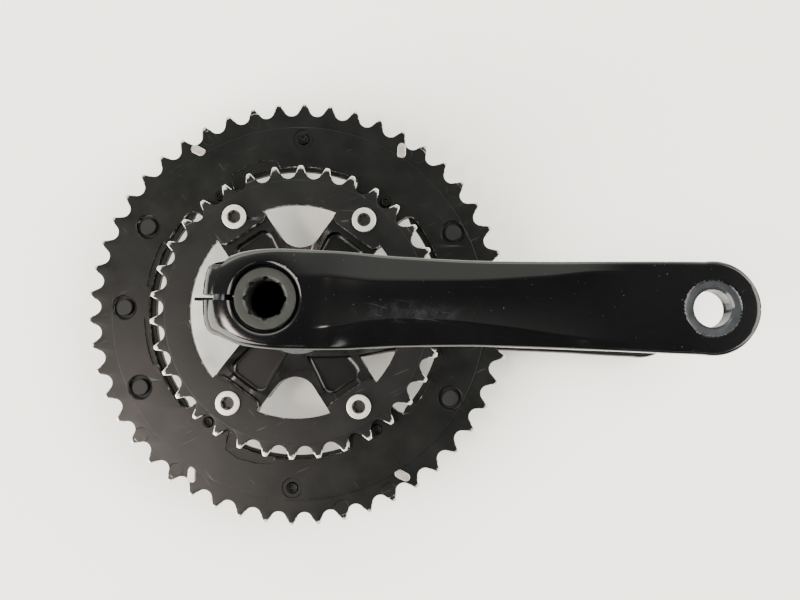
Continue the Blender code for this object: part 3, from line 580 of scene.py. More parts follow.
@dataclass(frozen=True)
class GlossEnamel(Finish):
    """Black lacquer over forged aluminium: deep and glossy, with faint orange peel.

    Shoes have scuffed it where they pass, so it carries fine pale scratches there, and specks of
    dust lie on it everywhere.  Where edges are struck the lacquer thins to a grey line.
    """

    scuff: str = "#7c8288"
    patches: tuple[Patch, ...] = ()
    peel_size: float = 1.1
    dust: float = 0.1
    scuffing: float = 0.13

    def surface(self, tree: bpy.types.NodeTree, place: bpy.types.NodeSocket) -> bpy.types.Node:
        """Wire the lacquer."""
        cloud = add_node(tree, "ShaderNodeTexNoise", {"Vector": place, "Scale": per_mm(26), "Detail": 3.0})
        body = add_node(
            tree, "ShaderNodeMix", {"Factor": cloud.outputs["Fac"], "A": linear(self.base), "B": linear(self.lift)},
            data_type="RGBA")
        long_lines = Scratches(length=11, width=0.3, turn=-9, share=0.7).mask(tree, place)
        short_lines = Scratches(length=4, width=0.25, turn=38, share=0.6).mask(tree, place)
        lines = add_node(tree, "ShaderNodeMath", {0: long_lines, 1: short_lines}, operation="MAXIMUM")
        where: bpy.types.NodeSocket | float = 0.02
        for patch in self.patches:
            joined = add_node(
                tree, "ShaderNodeMath", {0: where, 1: patch.mask(tree, place)}, operation="ADD", use_clamp=True)
            where = result(joined)
        strength = add_node(tree, "ShaderNodeMath", {0: result(lines), 1: self.scuffing}, operation="MULTIPLY")
        worn = add_node(tree, "ShaderNodeMath", {0: result(strength), 1: where}, operation="MULTIPLY")
        haze_grain = add_node(
            tree, "ShaderNodeTexNoise", {"Vector": place, "Scale": per_mm(4.5), "Detail": 6.0, "Roughness": 0.7})
        haze = add_node(
            tree, "ShaderNodeMapRange",
            {"Value": haze_grain.outputs["Fac"], "From Min": 0.45, "From Max": 0.8, "To Max": 0.08})
        hazy = add_node(tree, "ShaderNodeMath", {0: result(haze), 1: where}, operation="MULTIPLY")
        dust_grain = add_node(
            tree, "ShaderNodeTexNoise", {"Vector": place, "Scale": per_mm(1.1), "Detail": 1.0})
        dust = add_node(
            tree, "ShaderNodeMapRange",
            {"Value": dust_grain.outputs["Fac"], "From Min": 0.76, "From Max": 0.8, "To Max": self.dust})
        edge = add_node(tree, "ShaderNodeAttribute", attribute_name="wear")
        rubbed = add_node(
            tree, "ShaderNodeMath", {0: edge.outputs["Fac"], 1: haze_grain.outputs["Fac"]}, operation="MULTIPLY")
        total = result(worn)
        for further in (result(hazy), result(dust), result(rubbed)):
            joined = add_node(tree, "ShaderNodeMath", {0: total, 1: further}, operation="ADD", use_clamp=True)
            total = result(joined)
        colour = add_node(
            tree, "ShaderNodeMix", {"Factor": total, "A": result(body), "B": linear(self.scuff)},
            data_type="RGBA")
        rough = add_node(
            tree, "ShaderNodeMapRange",
            {"Value": total, "To Min": self.roughness, "To Max": 0.55})
        smear = add_node(
            tree, "ShaderNodeMath",
            {0: cloud.outputs["Fac"], 1: 0.06, 2: result(rough)}, operation="MULTIPLY_ADD")
        peel = add_node(
            tree, "ShaderNodeTexNoise", {"Vector": place, "Scale": per_mm(self.peel_size), "Detail": 1.0})
        relief = add_node(
            tree, "ShaderNodeBump", {"Height": peel.outputs["Fac"], "Strength": 0.25, "Distance": 0.00001})
        return add_node(
            tree, "ShaderNodeBsdfPrincipled",
            {"Base Color": result(colour), "Roughness": result(smear), "IOR": 1.52,
             "Specular IOR Level": 0.4, "Normal": result(relief)})


@dataclass(frozen=True)
class SatinAnodise(Finish):
    """Black hard-anodised aluminium plate: satin, with a trace of the lathe in fine rings.

    The chain has worn it through to bright alloy on the flanks and edges of the teeth, which the
    "wear" attribute marks, and grease and dust dull it in patches.
    """

    bare: str = "#c9c7bf"
    grime_and_shade: str = "#1a1611"
    ring_pitch: float = 0.5
    metal_share: float = 0.35
    tip_radius: float = 100.0
    tip_reach: float = 1.8

    def surface(self, tree: bpy.types.NodeTree, place: bpy.types.NodeSocket) -> bpy.types.Node:
        """Wire the anodised plate and its worn places."""
        cloud = add_node(
            tree, "ShaderNodeTexNoise", {"Vector": place, "Scale": per_mm(14), "Detail": 5.0, "Roughness": 0.6})
        body = add_node(
            tree, "ShaderNodeMix", {"Factor": cloud.outputs["Fac"], "A": linear(self.base), "B": linear(self.lift)},
            data_type="RGBA")
        dirt_grain = add_node(
            tree, "ShaderNodeTexNoise", {"Vector": place, "Scale": per_mm(2.6), "Detail": 6.0, "Roughness": 0.72})
        dirt = add_node(
            tree, "ShaderNodeMapRange",
            {"Value": dirt_grain.outputs["Fac"], "From Min": 0.55, "From Max": 0.78, "To Max": 0.5})
        soiled_and_shaded = add_node(
            tree, "ShaderNodeMix", {"Factor": result(dirt), "A": result(body), "B": linear(self.grime_and_shade)},
            data_type="RGBA")
        mark_at = add_node(tree, "ShaderNodeAttribute", attribute_name="wear")
        ragged = add_node(
            tree, "ShaderNodeMath", {0: dirt_grain.outputs["Fac"], 1: 1.6, 2: -0.8}, operation="MULTIPLY_ADD")
        flat = add_node(tree, "ShaderNodeMapping", {"Vector": place, "Scale": (1.0, 1.0, 0.0)})
        radius = add_node(tree, "ShaderNodeVectorMath", {0: result(flat)}, operation="LENGTH")
        tips = add_node(
            tree, "ShaderNodeMapRange",
            {"Value": radius.outputs["Value"], "From Min": (self.tip_radius - self.tip_reach) * METRES_PER_MM,
             "From Max": self.tip_radius * METRES_PER_MM, "To Max": 0.85})
        marked = add_node(
            tree, "ShaderNodeMath", {0: mark_at.outputs["Fac"], 1: result(tips)}, operation="ADD")
        rubbed = add_node(
            tree, "ShaderNodeMath", {0: result(marked), 1: result(ragged)}, operation="ADD")
        gate = add_node(
            tree, "ShaderNodeMapRange", {"Value": result(rubbed), "From Min": 0.38, "From Max": 0.62})
        lines = Scratches(length=7, width=0.22, turn=25, share=0.3).mask(tree, place)
        cross_lines = Scratches(length=5, width=0.22, turn=-50, share=0.25).mask(tree, place)
        scored = add_node(tree, "ShaderNodeMath", {0: lines, 1: cross_lines}, operation="MAXIMUM")
        faint = add_node(tree, "ShaderNodeMath", {0: result(scored), 1: 0.09}, operation="MULTIPLY")
        bared = add_node(tree, "ShaderNodeMath", {0: result(gate), 1: result(faint)}, operation="MAXIMUM")
        colour = add_node(
            tree, "ShaderNodeMix",
            {"Factor": result(bared), "A": result(soiled_and_shaded), "B": linear(self.bare)}, data_type="RGBA")
        metal = add_node(
            tree, "ShaderNodeMapRange", {"Value": result(bared), "To Min": self.metal_share, "To Max": 0.7})
        rough = add_node(
            tree, "ShaderNodeMapRange", {"Value": cloud.outputs["Fac"], "To Min": self.roughness - 0.08,
                                         "To Max": self.roughness + 0.14})
        rings = add_node(
            tree, "ShaderNodeTexNoise",
            {"W": radius.outputs["Value"], "Scale": per_mm(self.ring_pitch), "Detail": 2.0}, noise_dimensions="1D")
        relief = add_node(
            tree, "ShaderNodeBump", {"Height": rings.outputs["Fac"], "Strength": 0.3, "Distance": 0.00002})
        grit = add_node(
            tree, "ShaderNodeBump", {"Height": dirt_grain.outputs["Fac"], "Strength": 0.25, "Distance": 0.00006,
                                     "Normal": result(relief)})
        return add_node(
            tree, "ShaderNodeBsdfPrincipled",
            {"Base Color": result(colour), "Metallic": result(metal), "Roughness": result(rough),
             "Specular IOR Level": 0.32, "Normal": result(grit)})


@dataclass(frozen=True)
class MouldedResin(Finish):
    """Glass-filled black nylon as it leaves a spark-eroded mould: an even fine grain and a dull sheen."""

    grain_size: float = 0.45

    def surface(self, tree: bpy.types.NodeTree, place: bpy.types.NodeSocket) -> bpy.types.Node:
        """Wire the moulded surface."""
        cloud = add_node(tree, "ShaderNodeTexNoise", {"Vector": place, "Scale": per_mm(9), "Detail": 4.0})
        colour = add_node(
            tree, "ShaderNodeMix", {"Factor": cloud.outputs["Fac"], "A": linear(self.base), "B": linear(self.lift)},
            data_type="RGBA")
        rough = add_node(
            tree, "ShaderNodeMapRange", {"Value": cloud.outputs["Fac"], "To Min": self.roughness - 0.07,
                                         "To Max": self.roughness + 0.1})
        grain = add_node(
            tree, "ShaderNodeTexNoise", {"Vector": place, "Scale": per_mm(self.grain_size), "Detail": 2.0})
        relief = add_node(
            tree, "ShaderNodeBump", {"Height": grain.outputs["Fac"], "Strength": 0.4, "Distance": 0.00003})
        return add_node(
            tree, "ShaderNodeBsdfPrincipled",
            {"Base Color": result(colour), "Roughness": result(rough), "IOR": 1.53,
             "Specular IOR Level": 0.22, "Normal": result(relief)})


@dataclass(frozen=True)
class TurnedMetal(Finish):
    """Turned metal, plated or blackened: fine tool rings about its own centre and a few handling marks.

    Faces marked by an attribute take a near-black painted shade: the walls and floor of a key's socket, where the
    recess falls into shade.
    """

    centre: tuple[float, float, float] = (0.0, 0.0, 0.0)
    ring_pitch: float = 0.35
    ring_depth: float = 0.25
    metal_share: float = 1.0
    # Near-black colour of the painted shade in a key's socket.
    grime_and_shade: str = "#0b0b0a"

    def surface(self, tree: bpy.types.NodeTree, place: bpy.types.NodeSocket) -> bpy.types.Node:
        """Wire the turned metal."""
        cloud = add_node(
            tree, "ShaderNodeTexNoise", {"Vector": place, "Scale": per_mm(3.2), "Detail": 4.0, "Roughness": 0.6})
        lines = Scratches(length=3, width=0.16, turn=30, share=0.5).mask(tree, place)
        mottle = add_node(tree, "ShaderNodeMath", {0: lines, 1: cloud.outputs["Fac"]}, operation="MULTIPLY")
        tone = add_node(tree, "ShaderNodeMath", {0: cloud.outputs["Fac"], 1: result(mottle)}, operation="ADD",
                        use_clamp=True)
        colour = add_node(
            tree, "ShaderNodeMix", {"Factor": result(tone), "A": linear(self.base), "B": linear(self.lift)},
            data_type="RGBA")
        # Painted shade: the marked faces of a socket are mixed towards near-black.
        socket_shade = add_node(tree, "ShaderNodeAttribute", attribute_name="grime_and_shade")
        soiled_and_shaded = add_node(
            tree, "ShaderNodeMix",
            {"Factor": socket_shade.outputs["Fac"], "A": result(colour), "B": linear(self.grime_and_shade)}, data_type="RGBA")
        rough = add_node(
            tree, "ShaderNodeMapRange", {"Value": cloud.outputs["Fac"], "To Min": self.roughness - 0.06,
                                         "To Max": self.roughness + 0.12})
        flat = add_node(
            tree, "ShaderNodeMapping",
            {"Vector": place, "Location": [-c * METRES_PER_MM for c in self.centre[:2]] + [0.0],
             "Scale": (1.0, 1.0, 0.0)})
        radius = add_node(tree, "ShaderNodeVectorMath", {0: result(flat)}, operation="LENGTH")
        rings = add_node(
            tree, "ShaderNodeTexNoise",
            {"W": radius.outputs["Value"], "Scale": per_mm(self.ring_pitch), "Detail": 2.0}, noise_dimensions="1D")
        relief = add_node(
            tree, "ShaderNodeBump",
            {"Height": rings.outputs["Fac"], "Strength": self.ring_depth, "Distance": 0.00002})
        return add_node(
            tree, "ShaderNodeBsdfPrincipled",
            {"Base Color": result(soiled_and_shaded), "Metallic": self.metal_share, "Roughness": result(rough),
             "Normal": result(relief)})


@dataclass(frozen=True)
class TableTop(Finish):
    """A plain pale painted table: matt, with the faintest unevenness of tone."""

    def surface(self, tree: bpy.types.NodeTree, place: bpy.types.NodeSocket) -> bpy.types.Node:
        """Wire the table's paint."""
        cloud = add_node(tree, "ShaderNodeTexNoise", {"Vector": place, "Scale": per_mm(120), "Detail": 2.0})
        colour = add_node(
            tree, "ShaderNodeMix", {"Factor": cloud.outputs["Fac"], "A": linear(self.base), "B": linear(self.lift)},
            data_type="RGBA")
        return add_node(
            tree, "ShaderNodeBsdfPrincipled",
            {"Base Color": result(colour), "Roughness": self.roughness})


# ---------------------------------------------------------------- chainrings
@dataclass
class Chainring:
    """A toothed plate with a thicker band inside it, as both rings have.

    Attributes:
        node: The frame's node.
        teeth: Number of teeth.
        tip_radius: Radius over the teeth.
        tooth_low, tooth_top: Heights of the toothed plate's faces.
        band_radius: Outer radius of the thicker band.
        band_low, band_top: Heights of the band's faces.
    """

    node: str
    teeth: int
    tip_radius: float
    tooth_low: float
    tooth_top: float
    band_radius: float
    band_low: float
    band_top: float
    tooth_chamfer: float = 0.42
    band_chamfer: float = 0.35

    @property
    def pitch_radius(self) -> float:
        """Radius of the circle that the chain's rollers lie on."""
        return CHAIN_PITCH / 2 / math.sin(math.pi / self.teeth)

    @property
    def root_radius(self) -> float:
        """Radius at the bottom of the roller seats."""
        return self.pitch_radius - ROLLER_RADIUS

    def blank(self, inside: Outline) -> bpy.types.Object:
        """The toothed plate joined to its band, whose inner edge is the outline inside."""
        teeth = tooth_outline(self.teeth, self.tip_radius)
        lap = self.band_radius - 3.0
        ring = plate(self.node, [teeth, circle(lap, 180)], self.tooth_low, self.tooth_top, self.tooth_chamfer, 2)
        band = plate("band", [circle(self.band_radius, 180), inside], self.band_low, self.band_top,
                     self.band_chamfer, 2)
        combine(ring, band, Join.ADD)
        return ring

    def gates(self, tool_radius: float, circle_radius: float, places: Sequence[float],
              depth: float) -> bpy.types.Object:
        """Shallow round mill cuts in the upper face, one at each angle."""
        cutter = lathe("gate", [(0, self.tooth_top - depth), (tool_radius, self.tooth_top - depth),
                                (tool_radius + 0.3, self.tooth_top - depth + 0.3),
                                (tool_radius + 0.3, self.tooth_top + 2), (0, self.tooth_top + 2)], 40)
        return at_places(cutter, [moved(*around(circle_radius, a)) for a in places])

    def mark_wear(self, ring: bpy.types.Object, inner_edge: float) -> None:
        """Mark the flanks, roots and edges of the teeth, and more faintly the band's edges."""

        def share(centre: Vector, normal: Vector) -> float:
            """How far the chain has worn a face through."""
            radius = centre.xy.length
            if radius > self.root_radius - 0.7:
                flank = 0.1 + 0.7 * float(ease(self.root_radius + 1.6, self.tip_radius - 0.6, radius))
                return flank if abs(normal.z) < 0.97 else 0.06
            if abs(normal.z) < 0.35:
                return 0.42
            return 0.3 if abs(normal.z) < 0.97 and radius < inner_edge else 0.0

        mark(ring, "wear", share)


@dataclass
class OuterRing(Chainring):
    """The big ring, its shift pins and the rivets that hold its shift ramps."""

    edge_radii: Point = (71.4, 73.0)
    lobe_reach: float = 44.9
    lobe_half_width: float = 13.2
    insert_hole: float = 5.3
    stud_circle: float = 85.4
    stud_angles: tuple[float, ...] = (-28.0, 0.0, 28.5, 152.0, 180.0, 207.0)
    stud_pocket: float = 5.7
    rivet_angles: tuple[float, ...] = (90.0, 270.0)
    rivet_radius: float = 2.6
    pin_circle: float = 94.4
    pin_angles: tuple[float, ...] = (59.0, 123.5, 238.5, 304.3)
    pin_size: Point = (7.2, 3.5)
    pin_turn: float = 30.0
    ramp_circle: float = 69.0
    ramp_angles: tuple[float, ...] = (53.0, 125.4, 232.5, 305.6)
    ramp_radius: float = 2.4
    finish: SatinAnodise = SatinAnodise(
        "outer_ring_hard_anodise", "#050606", "#0e100f", 0.3, tip_radius=103.3, tip_reach=2.2)
    steel: TurnedMetal = TurnedMetal("shift_pin_plated_steel", "#7d7873", "#c4bdb6", 0.3, metal_share=0.6)
    dark_steel: TurnedMetal = TurnedMetal("rivet_blackened_steel", "#111212", "#2a2b2b", 0.36)

    def lobe(self) -> Outline:
        """One inward lobe, from its root to its end and back."""
        shoulder = self.lobe_half_width * 1.18
        root = math.sqrt(self.edge_radii[0] ** 2 - shoulder**2)
        reach, half = self.lobe_reach, self.lobe_half_width
        side = [(root, shoulder), (root - 2.2, half + 0.9), (root - 5.5, half), (reach + 5.0, half),
                (reach + 2.8, half - 0.5), (reach + 1.0, half - 2.2), (reach, half - 5.0)]
        return [(u, -v) for u, v in side] + side[::-1]

    def pin_outline(self, grow: float) -> Outline:
        """The oblong of a shift pin or its hole, centred and along x."""
        return oblong(self.pin_size[0] + 2 * grow, self.pin_size[1] + 2 * grow)

    def build_ring(self) -> bpy.types.Object:
        """Make the ring with all its holes, pockets and ramps."""
        ring = self.blank(lobed_loop(self.edge_radii, self.lobe(), 44))
        low, top = self.tooth_low - 5, self.band_top + 5
        holes = lathe("insert_hole", [(0, low), (self.insert_hole, low), (self.insert_hole, top), (0, top)], 40)
        combine(ring, at_places(holes, [moved(*around(BOLT_CIRCLE, a)) for a in BOLT_ANGLES]), Join.CUT)
        mouth = self.stud_pocket + 0.5
        pocket = lathe("stud_pocket", [(0, low), (self.stud_pocket, low), (self.stud_pocket, self.band_top - 0.5),
                                       (mouth, self.band_top), (mouth, top), (0, top)], 48)
        combine(ring, at_places(pocket, [moved(*around(self.stud_circle, a)) for a in self.stud_angles]), Join.CUT)
        bore = self.rivet_radius + CLEARANCE
        seat = lathe("rivet_seat", [(0, low), (bore, low), (bore, self.band_top - 0.45), (4.7, self.band_top - 0.45),
                                    (5.0, self.band_top + 0.01), (5.0, top), (0, top)], 40)
        combine(ring, at_places(seat, [moved(*around(self.stud_circle, a)) for a in self.rivet_angles]), Join.CUT)
        bore = self.ramp_radius + CLEARANCE
        hole = lathe("ramp_hole", [(0, low), (bore, low), (bore, top), (0, top)], 32)
        combine(ring, at_places(hole, [moved(*around(self.ramp_circle, a)) for a in self.ramp_angles]), Join.CUT)
        slot = plate("pin_hole", [self.pin_outline(CLEARANCE)], low, top)
        places = [moved(*around(self.pin_circle, a), turn=a + self.pin_turn) for a in self.pin_angles]
        combine(ring, at_places(slot, places), Join.CUT)
        self.cut_ramps(ring)
        return ring

    def cut_ramps(self, ring: bpy.types.Object) -> None:
        """Cut the shallow chain ramps into the band's upper face and the tooth gates."""
        floor, top = self.band_top - 0.7, self.band_top + 3
        wing = rounded([(66, -12.5, 1), (74.6, -11.0, 2), (76.9, -4.0, 5), (76.2, 5.0, 9), (74.0, 13.5, 3),
                        (66, 13.5, 1)], 10)
        cutter = plate("ramp", [wing], floor, top, 0.25, 2)
        combine(ring, at_places(cutter, [moved(0, 0, turn=a) for a in (108.0, 252.0)]), Join.CUT)
        crescent = arc((0, 0), 75.6, -9.0, 9.0, 14) + arc((0, 0), 66.0, 9.0, -9.0, 14)
        cutter = plate("crescent", [crescent], floor, top, 0.25, 2)
        combine(ring, at_places(cutter, [moved(0, 0, turn=a) for a in (163.0, 192.5, -17.0, 12.5)]), Join.CUT)
        angles = [a + 3.6 + 7.2 * k for a in (36.0, 100.8, 216.0, 280.8) for k in (0, 2)]
        combine(ring, self.gates(3.4, 97.2, angles, 0.35), Join.CUT)

    def build(self) -> None:
        """Make and deliver the ring, its pins and its rivets."""
        ring = self.build_ring()
        self.mark_wear(ring, self.edge_radii[1] + 1)
        deliver(ring, self.node, Body.DRIVE_SIDE, self.finish.material())
        pin = plate("shift_pin", [self.pin_outline(0)], self.tooth_low - 0.1, self.band_top, 0.18, 3)
        material = self.steel.material()
        for k, angle in enumerate(self.pin_angles, 1):
            place = moved(*around(self.pin_circle, angle), turn=angle + self.pin_turn)
            deliver(copy_of(pin, "pin", place), f"shift_pin_{k}", Body.DRIVE_SIDE, material)
        bpy.data.objects.remove(pin)
        self.build_rivets("ramp_rivet", self.ramp_radius, 18.6, self.ramp_circle, self.ramp_angles)
        self.build_rivets("cover_rivet", self.rivet_radius, 18.3, self.stud_circle, self.rivet_angles)

    def build_rivets(self, node: str, radius: float, top: float, circle_radius: float,
                     angles: Sequence[float]) -> None:
        """Turn one rivet with its spun-over head, and set a copy at each angle."""
        low = self.tooth_low + 0.2
        rivet = lathe(node, [(0, low), (radius - 0.3, low), (radius, low + 0.3), (radius, top - 0.45),
                             (radius - 0.35, top), (radius * 0.66, top - 0.05), (radius * 0.5, top - 0.55),
                             (radius * 0.3, top - 0.6), (radius * 0.12, top - 0.25), (0, top - 0.25)], 40)
        material = self.dark_steel.material()
        for k, angle in enumerate(angles, 1):
            copy = copy_of(rivet, "rivet", moved(*around(circle_radius, angle)))
            deliver(copy, f"{node}_{k}", Body.DRIVE_SIDE, material)
        bpy.data.objects.remove(rivet)


@dataclass
class InnerRing(Chainring):
    """The small ring, bolted to the spider's inner side."""

    edge_radii: Point = (51.6, 51.6)
    boss_reach: float = 46.0
    boss_half_width: float = 13.3
    bolt_hole: float = 4.3
    finish: SatinAnodise = SatinAnodise(
        "inner_ring_hard_anodise", "#080909", "#131414", 0.34, tip_radius=71.3, tip_reach=3.0)

    def build(self) -> None:
        """Make and deliver the ring."""
        root = math.sqrt(self.edge_radii[0] ** 2 - self.boss_half_width**2)
        flat = self.boss_half_width - 1.6
        side = [(root, self.boss_half_width), (root - 2.0, self.boss_half_width - 0.2),
                (self.boss_reach + 1.2, flat + 0.4), (self.boss_reach + 0.3, flat - 0.5), (self.boss_reach, flat - 2)]
        boss = [(u, -v) for u, v in side] + side[::-1]
        ring = self.blank(lobed_loop(self.edge_radii, boss, 36))
        low, top = self.band_low - 3, self.band_top + 3
        hole = lathe("bolt_hole", [(0, low), (self.bolt_hole, low), (self.bolt_hole, self.band_top - 0.3),
                                   (self.bolt_hole + 0.3, self.band_top), (self.bolt_hole + 0.3, top), (0, top)], 40)
        combine(ring, at_places(hole, [moved(*around(BOLT_CIRCLE, a)) for a in BOLT_ANGLES]), Join.CUT)
        self.mark_wear(ring, self.edge_radii[0] + 1)
        deliver(ring, self.node, Body.DRIVE_SIDE, self.finish.material())


@dataclass
class RingCover:
    """The moulded cover on the big ring's outer side, with studs that show through the plate."""

    node: str = "ring_cover"
    radius: float = 91.3
    inner_radii: Point = (69.9, 70.4)
    low: float = 10.6
    lobe_low: float = 9.8
    top: float = 14.75
    stud_radius: float = 3.9
    stud_top: float = 17.8
    flange_radius: float = 7.3
    flange_low: float = 11.9
    finish: MouldedResin = MouldedResin("cover_glass_filled_nylon", "#070808", "#0f1010", 0.46)

    def build(self, ring: OuterRing) -> None:
        """Make and deliver the cover and the pin that stands on it.

        Args:
            ring: The big ring, whose lobes and stud places the cover follows.
        """
        cover = plate(self.node, [circle(self.radius, 160), lobed_loop(self.inner_radii, ring.lobe(), 40)],
                      self.lobe_low, self.top, 0.5, 3)
        relief = lathe("relief", [(93.0, 12.8), (93.0, 9.0), (69.0, 9.0), (72.4, 10.2), (73.6, self.low),
                                  (85.0, self.low), (86.8, 10.9)], 160, closed=True)
        combine(cover, relief, Join.CUT)
        groove = lathe("groove", [(78.2, 9.0), (81.8, 9.0), (81.2, 11.3), (78.8, 11.3)], 160, closed=True)
        combine(cover, groove, Join.CUT)
        low = self.flange_low
        pocket = lathe("insert_pocket", [(0, low), (self.flange_radius, low), (self.flange_radius, 20), (0, 20)], 40)
        combine(cover, at_places(pocket, [moved(*around(BOLT_CIRCLE, a)) for a in BOLT_ANGLES]), Join.CUT)
        dish = lathe("dish", [(0, 9), (6.6, 9), (5.8, 10.7), (0, 10.7)], 48)
        combine(cover, at_places(dish, [moved(*around(BOLT_CIRCLE, a)) for a in BOLT_ANGLES]), Join.CUT)
        tip = self.stud_top
        stud = lathe("stud", [(0, 12.5), (self.stud_radius, 12.5), (self.stud_radius, tip - 0.35),
                              (self.stud_radius - 0.35, tip), (0, tip)], 40)
        combine(cover, at_places(stud, [moved(*around(ring.stud_circle, a)) for a in ring.stud_angles]), Join.ADD)
        deliver(cover, self.node, Body.DRIVE_SIDE, self.finish.material())
        self.build_drop_pin()

    def build_drop_pin(self) -> None:
        """Turn and deliver the pin that keeps a dropped chain off the arm."""
        lo, hi = (corner / METRES_PER_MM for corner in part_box("chain_drop_pin"))
        radius, low, top = (hi.x - lo.x) / 2, lo.z, hi.z
        pin = lathe("drop_pin", [(0, low), (radius - 0.5, low), (radius - 0.15, low + 0.15), (radius, low + 0.5),
                                 (radius, top), (0, top)], 40)
        pin.data.transform(moved((lo.x + hi.x) / 2, (lo.y + hi.y) / 2))
        finish = TurnedMetal("drop_pin_blackened_steel", "#1d1f20", "#4a4c4d", 0.34)
        deliver(pin, "chain_drop_pin", Body.DRIVE_SIDE, finish.material())


@dataclass
class RingFasteners:
    """The four chainring bolts, and the inserts that they pull against."""

    head_low: float = 24.7
    head_top: float = 26.3
    head_radius: float = 5.9
    shank_radius: float = 3.9
    shank_low: float = 13.6
    socket_radius: float = 2.9
    socket_floor: float = 23.4
    flange_low: float = 12.2
    flange_top: float = 14.75
    sleeve_top: float = 17.8
    finish: TurnedMetal = TurnedMetal(
        "bolt_bright_plating", "#a3a29c", "#cfcdc6", 0.36, ring_pitch=0.3, metal_share=0.6)

    def socket_outline(self) -> Outline:
        """The six-lobed socket, as one smooth wave round a circle."""
        middle, wave = self.socket_radius - 0.3, 0.3
        return [around(middle + wave * math.cos(math.radians(6 * a)), a) for a in range(0, 360, 5)]

    def build(self) -> None:
        """Make one bolt and one insert and deliver a copy of each in every hole."""
        top, head = self.head_top, self.head_radius
        bolt = lathe("bolt", [
            (0, self.shank_low), (self.shank_radius - 0.4, self.shank_low), (self.shank_radius, self.shank_low + 0.4),
            (self.shank_radius, self.head_low), (head - 0.2, self.head_low), (head, self.head_low + 0.2),
            (head, top - 0.5), (head - 0.15, top - 0.15), (head - 0.45, top), (3.35, top), (3.05, top - 0.25),
            (0, top - 0.25)], 64)
        socket = plate("socket", [self.socket_outline()], self.socket_floor, 30)
        combine(bolt, socket, Join.CUT)
        # Mark the key's socket and its rim for near-black painted shade in the recess.
        mark(bolt, "grime_and_shade", lambda centre, normal: 0.95 if centre.xy.length < self.socket_radius + 0.4 else 0.0)
        bore, flange, sleeve = self.shank_radius + CLEARANCE, 7.0, 5.0
        insert = lathe("insert", [
            (bore, self.sleeve_top), (sleeve - 0.2, self.sleeve_top), (sleeve, self.sleeve_top - 0.2),
            (sleeve, self.flange_top), (flange, self.flange_top), (flange, self.flange_low + 0.4),
            (flange - 0.4, self.flange_low), (bore, self.flange_low)], 48, closed=True)
        material = self.finish.material()
        for k, angle in enumerate(BOLT_ANGLES, 1):
            place = moved(*around(BOLT_CIRCLE, angle), turn=17.0 * k)
            deliver(copy_of(bolt, "copy", place), f"chainring_bolt_{k}", Body.DRIVE_SIDE, material)
            deliver(copy_of(insert, "copy", place), f"chainring_insert_{k}", Body.DRIVE_SIDE, material)
        for pattern in (bolt, insert):
            bpy.data.objects.remove(pattern)


